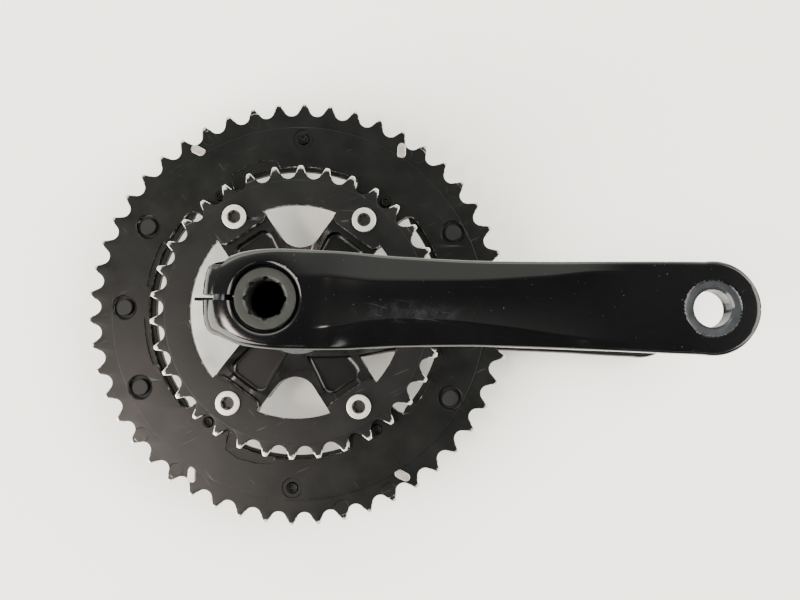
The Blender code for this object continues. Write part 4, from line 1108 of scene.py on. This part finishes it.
# ---------------------------------------------------------------- arms
@dataclass
class ArmBlank:
    """A forged arm: one plan outline between a shaped outer face and a plainer inner face.

    Attributes:
        half_plan: (along, half width) points from the boss end to the pedal eye.
        eye_radius: Radius of the round pedal end.
        length: From the spindle's axis to the pedal's.
        outer_course, inner_course: Height of each face along the arm.
        crease_high, crease_low: Sideways places of the two creases of the outer face.
        edge_course: Radius of the outer face's edge along the arm.
        outward: +1 where the outer face is the upper one, and -1 where it is the lower one.
    """

    half_plan: Outline
    eye_radius: float
    length: float
    outer_course: Outline
    inner_course: Outline
    crease_high: Outline
    crease_low: Outline
    edge_course: Outline
    outward: int
    inner_edge: float = 2.4
    facet_slopes: Point = (0.34, 0.52)
    facet_from: Point = (2.0, 44.0)
    facet_to: Point = (112.0, 142.0)
    hollow: float = 0.55
    dome_from: float = 14.5
    dome_drop: float = 1.3
    spacing: float = 1.15

    def outline(self) -> np.ndarray:
        """Evenly spaced (along, half width) points, from the boss end to the far end of the eye."""
        bend = math.degrees(math.acos((self.half_plan[-1][0] - self.length) / self.eye_radius))
        eye = arc((self.length, 0.0), self.eye_radius, min(bend, 100.0), 0.0, 24)
        rough = np.array(self.half_plan + eye)
        gone = np.concatenate([[0.0], np.cumsum(np.hypot(*np.diff(rough, axis=0).T))])
        fine = np.linspace(0.0, gone[-1], 4000)
        x = smooth_course(list(zip(gone, rough[:, 0])))(fine)
        y = smooth_course(list(zip(gone, rough[:, 1])))(fine)
        run = np.concatenate([[0.0], np.cumsum(np.hypot(np.diff(x), np.diff(y)))])
        even = np.linspace(0.0, run[-1], int(run[-1] / self.spacing))
        return np.stack([np.interp(even, run, x), np.interp(even, run, y)], axis=1)

    def columns(self, x: float, half: float) -> np.ndarray:
        """Sideways places across one row, with a column on each crease and several in each edge."""
        wide = max(half, 13.0)
        edge = float(smooth_course(self.edge_course)(x))
        roll = edge * (1 - np.cos(np.radians(np.linspace(0, 90, 7))))
        low = max(float(smooth_course(self.crease_low)(x)), -wide + edge + 1.0)
        high = min(float(smooth_course(self.crease_high)(x)), wide - edge - 1.0)
        run = np.concatenate([
            -wide + roll[:-1], np.linspace(-wide + edge, low, 9)[:-1], np.linspace(low, high, 21)[:-1],
            np.linspace(high, wide - edge, 9)[:-1], wide - roll[::-1]])
        return run * half / wide

    def outer_face(self, x: np.ndarray, y: np.ndarray, inset: np.ndarray) -> np.ndarray:
        """Height of the outer face.

        Args:
            x, y: Places on the plan.
            inset: How far each place lies inside the outline.

        Returns:
            The heights, above or below as the arm faces.
        """
        high, low = smooth_course(self.crease_high)(x), smooth_course(self.crease_low)(x)
        shown = ease(*self.facet_from, x) * (1 - ease(*self.facet_to, x))
        fall = self.facet_slopes[0] * np.maximum(y - high, 0) + self.facet_slopes[1] * np.maximum(low - y, 0)
        across = np.clip((y - low) / np.maximum(high - low, 1.0), 0, 1)
        fall = shown * (fall + self.hollow * 4 * across * (1 - across))
        reach = np.maximum(np.hypot(x, y) - self.dome_from, 0)
        fall += self.dome_drop * (reach / 8.0) ** 2 * (1 - ease(6.0, 26.0, x))
        radius = smooth_course(self.edge_course)(x)
        rise = radius - np.minimum(inset, radius)
        fall += radius - np.sqrt(np.maximum(radius**2 - rise**2, 0))
        return smooth_course(self.outer_course)(x) - self.outward * fall

    def inner_face(self, x: np.ndarray, inset: np.ndarray) -> np.ndarray:
        """Height of the inner face, with its own rounded edge."""
        rise = self.inner_edge - np.minimum(inset, self.inner_edge)
        fall = self.inner_edge - np.sqrt(np.maximum(self.inner_edge**2 - rise**2, 0))
        return smooth_course(self.inner_course)(x) + self.outward * fall

    def build(self, name: str) -> bpy.types.Object:
        """Lay the grid over both faces and the walls between them."""
        plan = self.outline()
        whole = np.concatenate([plan, plan[::-1] * (1, -1)])
        rows = []
        for x, half in plan:
            y = self.columns(x, half)
            gap = np.hypot(whole[:, 0][None] - x, whole[:, 1][None] - y[:, None]).min(axis=1)
            along = np.full_like(y, x)
            inset = np.where(np.isclose(np.abs(y), half), 0.0, gap)
            outer = self.outer_face(along, y, inset)
            inner = self.inner_face(along, inset)[::-1]
            side = np.linspace(0, 1, 5)[1:-1]
            wall_up = outer[-1] + side * (inner[0] - outer[-1])
            wall_down = inner[-1] + side * (outer[0] - inner[-1])
            across = np.concatenate([y, np.full(3, half), y[::-1], np.full(3, -half), y[:1]])
            height = np.concatenate([outer, wall_up, inner, wall_down, outer[:1]])
            rows.append(np.stack([np.full_like(across, x), across, height], axis=1))
        return lattice(name, np.array(rows))


@dataclass
class PedalEye:
    """The threaded hole for the pedal's axle, and the seat that its collar rubs bright."""

    length: float = 170.0
    hole_radius: float = 7.1
    thread_depth: float = 0.45
    thread_pitch: float = 1.27
    seat_radius: float = 10.3
    seat_depth: float = 0.8

    def cut(self, arm: bpy.types.Object, low: float, high: float, seat_up: bool) -> None:
        """Cut the thread and the seat.

        Args:
            arm: The arm.
            low, high: Heights of the eye's faces.
            seat_up: Whether the seat is in the upper face.
        """
        turns = int((high - low) / self.thread_pitch) + 3
        bottom = low - self.thread_pitch
        profile: Outline = [(0, bottom)]
        for k in range(turns):
            level = bottom + k * self.thread_pitch
            profile += [(self.hole_radius, level), (self.hole_radius, level + 0.25),
                        (self.hole_radius + self.thread_depth, level + 0.6), (self.hole_radius, level + 0.95)]
        profile.append((0, profile[-1][1]))
        thread = lathe("pedal_thread", profile, 64)
        thread.data.transform(moved(self.length, 0))
        combine(arm, thread, Join.CUT)
        face = high if seat_up else low
        into = -1 if seat_up else 1
        seat, depth = self.seat_radius, self.seat_depth
        tool = lathe("pedal_seat", [
            (0, face - into * 6), (seat + 0.35, face - into * 6), (seat + 0.35, face), (seat, face + into * 0.35),
            (seat, face + into * (depth - 0.15)), (seat - 0.15, face + into * depth), (8.0, face + into * depth),
            (self.hole_radius + 0.1, face + into * (depth + 0.9)), (0, face + into * (depth + 0.9))], 96)
        tool.data.transform(moved(self.length, 0))
        combine(arm, tool, Join.CUT)

    def worn(self, centre: Vector, normal: Vector) -> float:
        """How far the pedal's collar has bared a face."""
        reach = math.hypot(centre.x - self.length, centre.y)
        if reach > self.seat_radius + 0.2:
            return 0.0
        return 0.2 if abs(normal.z) > 0.5 else 0.08


@dataclass
class LeftArm:
    """The left arm: a split clamp on the spindle's splines, three facets, and a pedal eye."""

    node: str = "left_arm"
    top: float = 129.0
    boss_low: float = 108.0
    boss_radius: float = 16.8
    entry_radius: float = 12.3
    bore_radius: float = 11.9
    spline_root: float = 11.05
    spline_count: int = 20
    spline_start: float = 109.9
    counterbore: float = 13.2
    seat_top: float = 124.2
    slot_width: float = 2.3
    pinch_x: float = -18.0
    pinch_heights: Point = (112.9, 123.1)
    pinch_shank: float = 2.9
    pinch_head: float = 4.5
    pinch_head_from: float = 8.8
    pinch_head_to: float = 12.8
    pinch_tip: float = -13.2
    eye: PedalEye = field(default_factory=PedalEye)
    finish: GlossEnamel = GlossEnamel(
        "left_arm_gloss_lacquer", "#030303", "#060607", 0.1,
        patches=(Patch((56, -4, 130), (26, 5, 20)),))
    bolt_finish: TurnedMetal = TurnedMetal("pinch_bolt_blackened_steel", "#1d1f20", "#45474a", 0.34)

    def blank(self) -> ArmBlank:
        """The arm's form before it is bored and split."""
        return ArmBlank(
            half_plan=[(-24.7, 0.0), (-24.55, 4.5), (-24.2, 8.5), (-22.9, 12.6), (-20.8, 14.2), (-18.2, 14.9),
                       (-15.2, 16.2), (-9.3, 18.2), (-2.0, 19.3), (5.9, 19.65), (28.0, 19.15), (52.0, 17.5),
                       (86.0, 16.4), (128.0, 16.8), (158.0, 17.4)],
            eye_radius=17.8, length=self.eye.length,
            outer_course=[(-25, 129), (16, 129), (40, 130.5), (98, 133.8), (150, 136.7), (162, 137), (190, 137)],
            inner_course=[(-25, 108.9), (17, 108.9), (36, 113.0), (92, 118.0), (150, 123.2), (190, 124)],
            crease_high=[(-25, 9.0), (20, 9.5), (44, 8.0), (77, 8.6), (108, 10.9), (128, 13.0), (190, 14.0)],
            crease_low=[(-25, -11.5), (16, -11.0), (34, -9.0), (52, -7.2), (66, -7.2), (91, -9.1), (114, -12.0),
                        (130, -13.4), (190, -14.5)],
            edge_course=[(-25, 4.6), (-12, 3.4), (8, 1.8), (40, 1.2), (150, 1.2), (190, 1.6)],
            outward=1)

    def build(self) -> None:
        """Make and deliver the arm and its pinch bolts."""
        arm = self.blank().build(self.node)
        low, face = self.boss_low, self.top
        boss = lathe("boss", [(0, 112.0), (self.boss_radius, 112.0), (self.boss_radius, low + 0.6),
                              (self.boss_radius - 0.6, low), (0, low)], 96)
        combine(arm, boss, Join.ADD)
        tool = lathe("counterbore", [
            (0, 140.0), (self.counterbore + 5.0, 140.0), (self.counterbore + 1.8, face + 0.06),
            (self.counterbore + 1.4, face - 0.02), (self.counterbore + 1.0, face - 0.16),
            (self.counterbore + 0.65, face - 0.4), (self.counterbore + 0.35, face - 0.75),
            (self.counterbore + 0.1, face - 1.2), (self.counterbore, face - 1.7),
            (self.counterbore, self.seat_top), (self.bore_radius + 0.4, self.seat_top),
            (self.bore_radius, self.seat_top - 0.4), (self.bore_radius, self.spline_start),
            (self.entry_radius, self.spline_start), (self.entry_radius, low + 0.6), (self.entry_radius + 0.6, low),
            (self.entry_radius + 0.6, low - 3), (0, low - 3)], 96)
        combine(arm, tool, Join.CUT)
        self.add_splines(arm)
        self.split_clamp(arm)
        self.eye.cut(arm, 124.0, 137.0, seat_up=True)

        def share(centre: Vector, normal: Vector) -> float:
            """How bare each face is: the pedal's seat and the splines."""
            reach = centre.xy.length
            if reach < self.entry_radius:
                return 0.6
            return self.eye.worn(centre, normal)

        mark(arm, "wear", share)
        deliver(arm, self.node, Body.LEFT_CRANK, self.finish.material(), smooth=48)
        self.build_pinch_bolts()

    def add_splines(self, arm: bpy.types.Object) -> None:
        """Stand the splines in the bore, one modelled and the rest turned copies."""
        tooth = [(self.spline_root, -0.62), (self.bore_radius + 0.6, -0.95), (self.bore_radius + 0.6, 0.95),
                 (self.spline_root, 0.62)]
        spline = plate("spline", [tooth], self.spline_start, self.seat_top - 0.4)
        turn = 360.0 / self.spline_count
        splines = at_places(spline, [moved(0, 0, turn=turn * k) for k in range(self.spline_count)])
        combine(arm, splines, Join.ADD)

    def split_clamp(self, arm: bpy.types.Object) -> None:
        """Saw the slot behind the spindle and drill for the two pinch bolts."""
        half = self.slot_width / 2
        slot = plate("slot", [[(-30, -half), (-9.5, -half), (-9.5, half), (-30, half)]], 100, 140)
        combine(arm, slot, Join.CUT)
        shank, head = self.pinch_shank + CLEARANCE, self.pinch_head + CLEARANCE
        start = self.pinch_head_from - CLEARANCE
        drill = lathe("pinch_drill", [(0, self.pinch_tip - CLEARANCE), (shank, self.pinch_tip - CLEARANCE),
                                      (shank, start), (head, start), (head, 30), (0, 30)], 48)
        combine(arm, at_places(drill, [self.across(z) for z in self.pinch_heights]), Join.CUT)

    def across(self, height: float) -> Matrix:
        """Lays a piece turned about the vertical on a pinch bolt's axis, with its top towards +Y."""
        return Matrix.Translation((self.pinch_x, 0, height)) @ Matrix.Rotation(-math.pi / 2, 4, "X")

    def build_pinch_bolts(self) -> None:
        """Turn one socket-head bolt and deliver a copy at each height."""
        top, head, tip = self.pinch_head_to, self.pinch_head, self.pinch_tip
        bolt = lathe("bolt", [
            (0, tip), (self.pinch_shank - 0.8, tip), (self.pinch_shank, tip + 0.8),
            (self.pinch_shank, self.pinch_head_from), (head - 0.15, self.pinch_head_from),
            (head, self.pinch_head_from + 0.15), (head, top - 0.5), (head - 0.15, top - 0.15), (head - 0.5, top),
            (3.35, top), (3.1, top - 0.25), (0, top - 0.25)], 48)
        combine(bolt, plate("key", [circle(2.9, 6)], top - 2.8, top + 3), Join.CUT)
        material = self.bolt_finish.material()
        for name, height in zip(("pinch_bolt_inner", "pinch_bolt_outer"), self.pinch_heights):
            deliver(copy_of(bolt, name, self.across(height)), name, Body.LEFT_CRANK, material)
        bpy.data.objects.remove(bolt)


@dataclass
class Stopper:
    """The thin plate that turns on the inner pinch bolt and keeps the clamp from slipping off."""

    node: str = "stopper_plate"
    pivot: Point = (-18.0, 112.9)
    thickness: float = 1.2
    hole_radius: float = 3.2
    lift: float = 14.0
    tip: float = -13.4

    def build(self) -> None:
        """Press, hang and deliver the plate."""
        blade = arc((0.0, 0.0), 4.7, -20, -150, 15)
        blade += rounded([(self.tip, -2.6, 0.8), (self.tip, 1.0, 0.8), (-4.6, 1.6, 1.0), (-3.0, 4.6, 1.2), (0.6, 6.1, 2.0),
                          (7.0, 6.0, 0.7), (7.0, 4.0, 0.5), (4.4, 3.6, 1.0)], 4)
        sheet = plate(self.node, [blade, circle(self.hole_radius, 40)], -self.thickness / 2, self.thickness / 2,
                      0.18, 2)
        stand = Matrix.Rotation(math.radians(-self.lift), 4, "Y") @ Matrix.Rotation(math.pi / 2, 4, "X")
        sheet.data.transform(Matrix.Translation((self.pivot[0], 0.0, self.pivot[1])) @ stand)
        finish = TurnedMetal("stopper_blackened_sheet", "#060606", "#101112", 0.4, ring_depth=0.05)
        deliver(sheet, self.node, Body.STOPPER, finish.material())


@dataclass
class PreloadCap:
    """The threaded cap that draws the left arm in, with a notched socket for its key."""

    node: str = "preload_cap"
    top: float = 127.5
    seat: float = 124.5
    low: float = 112.5
    radius: float = 12.2
    shank_radius: float = 9.0
    hole_radius: float = 7.5
    notch_count: int = 8
    notch_radius: float = 1.1
    thread_pitch: float = 1.5
    finish: TurnedMetal = TurnedMetal(
        "cap_grey_anodise", "#191a18", "#2c2e2b", 0.46, ring_pitch=0.6, metal_share=0.5)

    def build(self) -> None:
        """Turn, notch and deliver the cap."""
        top = self.top
        profile = [(self.hole_radius, top - 1.3), (self.hole_radius + 0.3, top - 0.75), (8.5, top - 0.15),
                   (8.9, top), (11.5, top), (self.radius - 0.2, top - 0.15), (self.radius, top - 0.5),
                   (self.radius, self.seat + 0.3), (self.radius - 0.3, self.seat), (self.shank_radius, self.seat)]
        level = self.seat - 1.2
        while level > self.low + self.thread_pitch:
            profile += [(self.shank_radius, level), (self.shank_radius - 0.5, level - 0.6),
                        (self.shank_radius, level - 1.2)]
            level -= self.thread_pitch
        profile += [(self.shank_radius - 0.3, self.low), (self.hole_radius, self.low)]
        cap = lathe(self.node, profile, 96, closed=True)
        notch = lathe("notch", [(0, top - 6.0), (self.notch_radius, top - 6.0), (self.notch_radius, top - 0.9),
                                (self.notch_radius + 0.15, top + 1), (0, top + 1)], 28)
        turn = 360.0 / self.notch_count
        places = [moved(*around(self.hole_radius, turn * k)) for k in range(self.notch_count)]
        combine(cap, at_places(notch, places), Join.CUT)
        deliver(cap, self.node, Body.CAP, self.finish.material())


# ---------------------------------------------------------------- drive side
@dataclass
class DriveForging:
    """The right arm, its hub and its four-armed spider, forged and machined as one."""

    node: str = "drive_arm"
    tab_low: float = 18.1
    tab_top: float = 21.1
    arm_half_width: float = 13.3
    tip_radius: float = 63.5
    bore_radius: float = 12.3
    hub_radius: float = 20.5
    hub_top: float = 18.0
    bolt_hole: float = 4.4
    pocket_floor: float = 14.4
    eye: PedalEye = field(default_factory=PedalEye)
    finish: GlossEnamel = GlossEnamel(
        "drive_arm_gloss_lacquer", "#040404", "#080909", 0.2,
        patches=(Patch((70, 0, -4), (70, 14, 12)),))

    def blank(self) -> ArmBlank:
        """The arm's form before the spider is joined to it."""
        return ArmBlank(
            half_plan=[(-19.5, 0.0), (-19.1, 5.0), (-17.5, 10.0), (-10.0, 19.0), (-2.0, 21.6), (6.0, 22.4),
                       (28.0, 21.5), (50.0, 17.8), (90.0, 16.0), (130.0, 16.5), (158.0, 17.4)],
            eye_radius=17.8, length=self.eye.length,
            outer_course=[(-25, 0.5), (18, 0.5), (40, -0.9), (90, -5.7), (140, -10.3), (154, -11), (190, -11)],
            inner_course=[(-25, 17.2), (22, 17.2), (40, 14.4), (66, 8.8), (150, 2.6), (190, 2.0)],
            crease_high=[(-25, 9.0), (20, 9.5), (44, 8.0), (77, 8.6), (108, 10.9), (128, 13.0), (190, 14.0)],
            crease_low=[(-25, -11.5), (16, -11.0), (34, -9.0), (52, -7.2), (66, -7.2), (91, -9.1), (114, -12.0),
                        (130, -13.4), (190, -14.5)],
            edge_course=[(-25, 3.4), (10, 2.6), (50, 1.6), (150, 1.4), (190, 1.6)],
            outward=-1, inner_edge=2.2)

    def build(self) -> None:
        """Make and deliver the forging."""
        forging = self.blank().build(self.node)
        combine(forging, self.spider(), Join.ADD)
        tool = lathe("hub_bore", [(0, -5), (self.bore_radius + 0.5, -5), (self.bore_radius + 0.5, 0.5),
                                  (self.bore_radius, 1.0), (self.bore_radius, self.hub_top - 0.6),
                                  (self.bore_radius + 0.8, self.hub_top + 0.2), (self.bore_radius + 0.8, 30),
                                  (0, 30)], 96)
        combine(forging, tool, Join.CUT)
        hole = lathe("tab_hole", [(0, 10), (self.bolt_hole, 10), (self.bolt_hole, 30), (0, 30)], 40)
        combine(forging, at_places(hole, [moved(*around(BOLT_CIRCLE, a)) for a in BOLT_ANGLES]), Join.CUT)
        self.eye.cut(forging, -11.0, 2.0, seat_up=False)

        def share(centre: Vector, normal: Vector) -> float:
            """How bare each face is: the machined hub rim, its bore and the pedal's seat."""
            reach = centre.xy.length
            if reach < self.hub_radius + 0.2 and centre.z > self.hub_top - 0.9 and abs(normal.z) < 0.97:
                return 0.6
            return 0.5 if reach < self.bore_radius + 0.1 else self.eye.worn(centre, normal)

        mark(forging, "wear", share)
        deliver(forging, self.node, Body.DRIVE_SIDE, self.finish.material())

    def spider(self) -> bpy.types.Object:
        """The spider: its plan cut from a turned dish, with a rimmed pocket in each arm."""
        corners = []
        for k, angle in enumerate(BOLT_ANGLES):
            for side in (-self.arm_half_width, self.arm_half_width):
                (x, y), = turn_outline([(self.tip_radius, side)], angle)
                corners.append((x, y, 6.0))
            following = BOLT_ANGLES[(k + 1) % 4] + (360.0 if k == 3 else 0.0)
            half_gap = (following - angle) / 2
            reach = self.arm_half_width / math.sin(math.radians(half_gap))
            corners.append((*around(reach, angle + half_gap), 11.4 if half_gap < 40 else 18.0))
        spider = plate("spider", [rounded(corners, 16)], -10, 40)
        dish = lathe("dish", [
            (0, 17.5), (26.5, 17.2), (34, 18.7), (41, 20.7), (43.5, self.tab_top), (70, self.tab_top),
            (70, self.tab_low), (44.3, self.tab_low), (44.3, 10.2), (43.3, 9.2), (34, 5.8), (26, 3.5), (0, 2.5)], 144)
        combine(spider, dish, Join.KEEP)
        for angle in BOLT_ANGLES:
            self.pocket(spider, angle)
        soften(spider, 0.8, 3)
        boss = lathe("hub", [(0, self.hub_top), (self.hub_radius - 0.7, self.hub_top),
                             (self.hub_radius, self.hub_top - 0.7), (self.hub_radius + 0.3, 16.6),
                             (self.hub_radius + 2.0, 12), (self.hub_radius + 2.0, 6), (0, 6)], 120)
        combine(spider, boss, Join.ADD)
        return spider

    def pocket(self, spider: bpy.types.Object, angle: float) -> None:
        """Forge the hollow in one arm's inner side, with a filleted floor."""
        corners = [(18.0, -8.0, 2.0), (30.0, -9.4, 12.0), (43.2, -11.3, 5.0), (43.2, 11.3, 5.0), (30.0, 9.4, 12.0),
                   (18.0, 8.0, 2.0)]
        tool = plate("pocket", [rounded(corners, 12)], self.pocket_floor, 30, 1.9, 6)
        tool.data.transform(moved(0, 0, turn=angle))
        combine(spider, tool, Join.CUT)


@dataclass
class Spindle:
    """The hollow spindle, splined at its left end, and the cap in its drive end."""

    radius: float = 12.0
    bore: float = 9.4
    start: float = 2.8
    end: float = 123.6
    spline_start: float = 109.6
    spline_root: float = 10.6
    spline_tip: float = 11.5
    spline_count: int = 20
    cap_thickness: float = 2.2
    steel: TurnedMetal = TurnedMetal("spindle_ground_steel", "#5c5d5c", "#8f8f8b", 0.3, ring_pitch=0.4)
    resin: MouldedResin = MouldedResin("end_cap_moulded_nylon", "#0d0e0e", "#161817", 0.42)

    def build(self) -> None:
        """Make and deliver the spindle and its end cap."""
        tube = lathe("spindle", [
            (self.bore, self.end), (self.spline_root - 0.5, self.end), (self.spline_root, self.end - 0.5),
            (self.spline_root, self.spline_start), (self.radius, self.spline_start - 1.0),
            (self.radius, 106.2), (self.radius - 0.15, 105.9), (self.radius - 0.15, 20.6), (self.radius, 20.3),
            (self.radius, self.start + 0.6), (self.radius - 0.6, self.start), (self.bore + 0.4, self.start),
            (self.bore, self.start + 0.4)], 96, closed=True)
        tooth = [(self.spline_root - 0.6, -0.72), (self.spline_tip, -0.5), (self.spline_tip, 0.5),
                 (self.spline_root - 0.6, 0.72)]
        spline = plate("spline", [tooth], self.spline_start - 0.6, self.end - 1.2, 0.12)
        turn = 360.0 / self.spline_count
        ring = at_places(spline, [moved(0, 0, turn=turn * (k + 0.5)) for k in range(self.spline_count)])
        combine(tube, ring, Join.ADD)
        hole = lathe("locking_hole", [(0, 8.5), (2.4, 8.5), (2.4, 13.5), (0, 13.5)], 32)
        hole.data.transform(Matrix.Translation((0, 0, 117.9)) @ Matrix.Rotation(-math.pi / 2, 4, "Y"))
        combine(tube, hole, Join.CUT)
        deliver(tube, "spindle", Body.DRIVE_SIDE, self.steel.material())
        top = self.cap_thickness
        cap = lathe("end_cap", [
            (0, top), (self.radius - 0.2, top), (self.radius, top - 0.2), (self.radius, 0.7),
            (self.radius - 0.25, 0.25), (self.radius - 0.8, 0), (8.2, 0), (7.9, 0.35), (7.2, 0.35), (6.9, 0),
            (0, 0)], 96)
        deliver(cap, "drive_end_cap", Body.DRIVE_SIDE, self.resin.material())


# ---------------------------------------------------------------- studio
@dataclass
class Softbox:
    """A rectangular lamp that faces a point, with a place in metres."""

    name: str
    place: tuple[float, float, float]
    size: Point
    watts: float
    colour: str = "#ffffff"

    def hang(self, target: Vector) -> None:
        """Add the lamp, pointing at the target."""
        bpy.ops.object.light_add(type="AREA", location=self.place)
        lamp = bpy.context.object
        lamp.name = self.name
        lamp.data.shape = "RECTANGLE"
        lamp.data.size, lamp.data.size_y = self.size
        lamp.data.energy = self.watts
        lamp.data.color = linear(self.colour)[:3]
        lamp.rotation_euler = (Vector(self.place) - target).to_track_quat("Z", "Y").to_euler()


@dataclass
class Studio:
    """A pale table, soft lamps and a camera that looks nearly straight down."""

    table_size: float = 3.0
    table_finish: TableTop = TableTop("table_matt_paint", "#f3f1ec", "#efede8", 0.7)
    lens: float = 48.0
    camera_place: tuple[float, float, float] = (0.06154, -0.02333, 0.53771)
    camera_tilt: tuple[float, float, float] = (3.35, 1.29, 1.44)
    sky_dark: str = "#424446"
    sky_bright: str = "#e6ebdf"
    sky_strength: float = 1.9

    def build(self) -> None:
        """Set out the table, the lamps, the sky and the camera."""
        low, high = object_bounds()
        bpy.ops.object.select_all(action="DESELECT")
        bpy.ops.mesh.primitive_plane_add(size=self.table_size, location=(0, 0, low.z - 0.0002))
        table = bpy.context.object
        table.name = "table_top"
        table.data.materials.append(self.table_finish.material())
        table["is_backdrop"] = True
        middle = (low + high) / 2
        for lamp in (
            Softbox("window_left", (-1.15, -0.75, 0.85), (1.9, 1.5), 118.0, "#fffaf3"),
            Softbox("window_back", (-0.15, 1.4, 0.65), (2.6, 0.9), 30.0, "#fbfdf6"),
            Softbox("bounce_right", (1.25, 0.1, 0.95), (1.4, 1.6), 66.0, "#fffaf3"),
            Softbox("strip_front", (0.415, -0.8, 1.15), (0.67, 0.12), 1.5),
            Softbox("ceiling_left", (-0.5, -0.24, 1.4), (0.3, 0.2), 9.0, "#ffeee4"),
        ):
            lamp.hang(middle)
        self.set_sky()
        bpy.ops.object.camera_add(location=self.camera_place)
        camera = bpy.context.object
        camera.rotation_mode = "ZYX"
        camera.rotation_euler = [math.radians(a) for a in self.camera_tilt]
        camera.data.lens = self.lens
        camera.data.sensor_width = 36.0
        camera.data.clip_start = 0.01
        bpy.context.scene.camera = camera

    def set_sky(self) -> None:
        """A dim room, bright on its far side only, so that flat faces stay dark."""
        world = bpy.data.worlds.new("studio_room")
        bpy.context.scene.world = world
        world.use_nodes = True
        tree = world.node_tree
        tree.nodes.clear()
        way = add_node(tree, "ShaderNodeTexCoord").outputs["Generated"]
        split = add_node(tree, "ShaderNodeSeparateXYZ", {"Vector": way})
        far_side = add_node(
            tree, "ShaderNodeMapRange", {"Value": split.outputs["Y"], "From Min": -0.05, "From Max": 0.7},
            interpolation_type="SMOOTHSTEP")
        tone = add_node(
            tree, "ShaderNodeMix",
            {"Factor": result(far_side), "A": linear(self.sky_dark), "B": linear(self.sky_bright)},
            data_type="RGBA")
        sky = add_node(tree, "ShaderNodeBackground", {"Color": result(tone), "Strength": self.sky_strength})
        add_node(tree, "ShaderNodeOutputWorld", {"Surface": result(sky)})


def main() -> None:
    """Set out the studio round the frame, then build every sub-assembly."""
    logging.basicConfig(level=logging.INFO, format="%(name)s: %(message)s")
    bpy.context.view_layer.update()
    Studio().build()
    big_ring = OuterRing("outer_chainring", 50, 103.3, 15.05, 17.15, 91.5, 15.15, 17.8)
    big_ring.build()
    RingCover().build(big_ring)
    InnerRing("inner_chainring", 34, 71.3, 22.05, 24.15, 64.2, 21.4, 24.4).build()
    RingFasteners().build()
    DriveForging().build()
    Spindle().build()
    LeftArm().build()
    Stopper().build()
    PreloadCap().build()


if __name__ == "__main__":
    main()
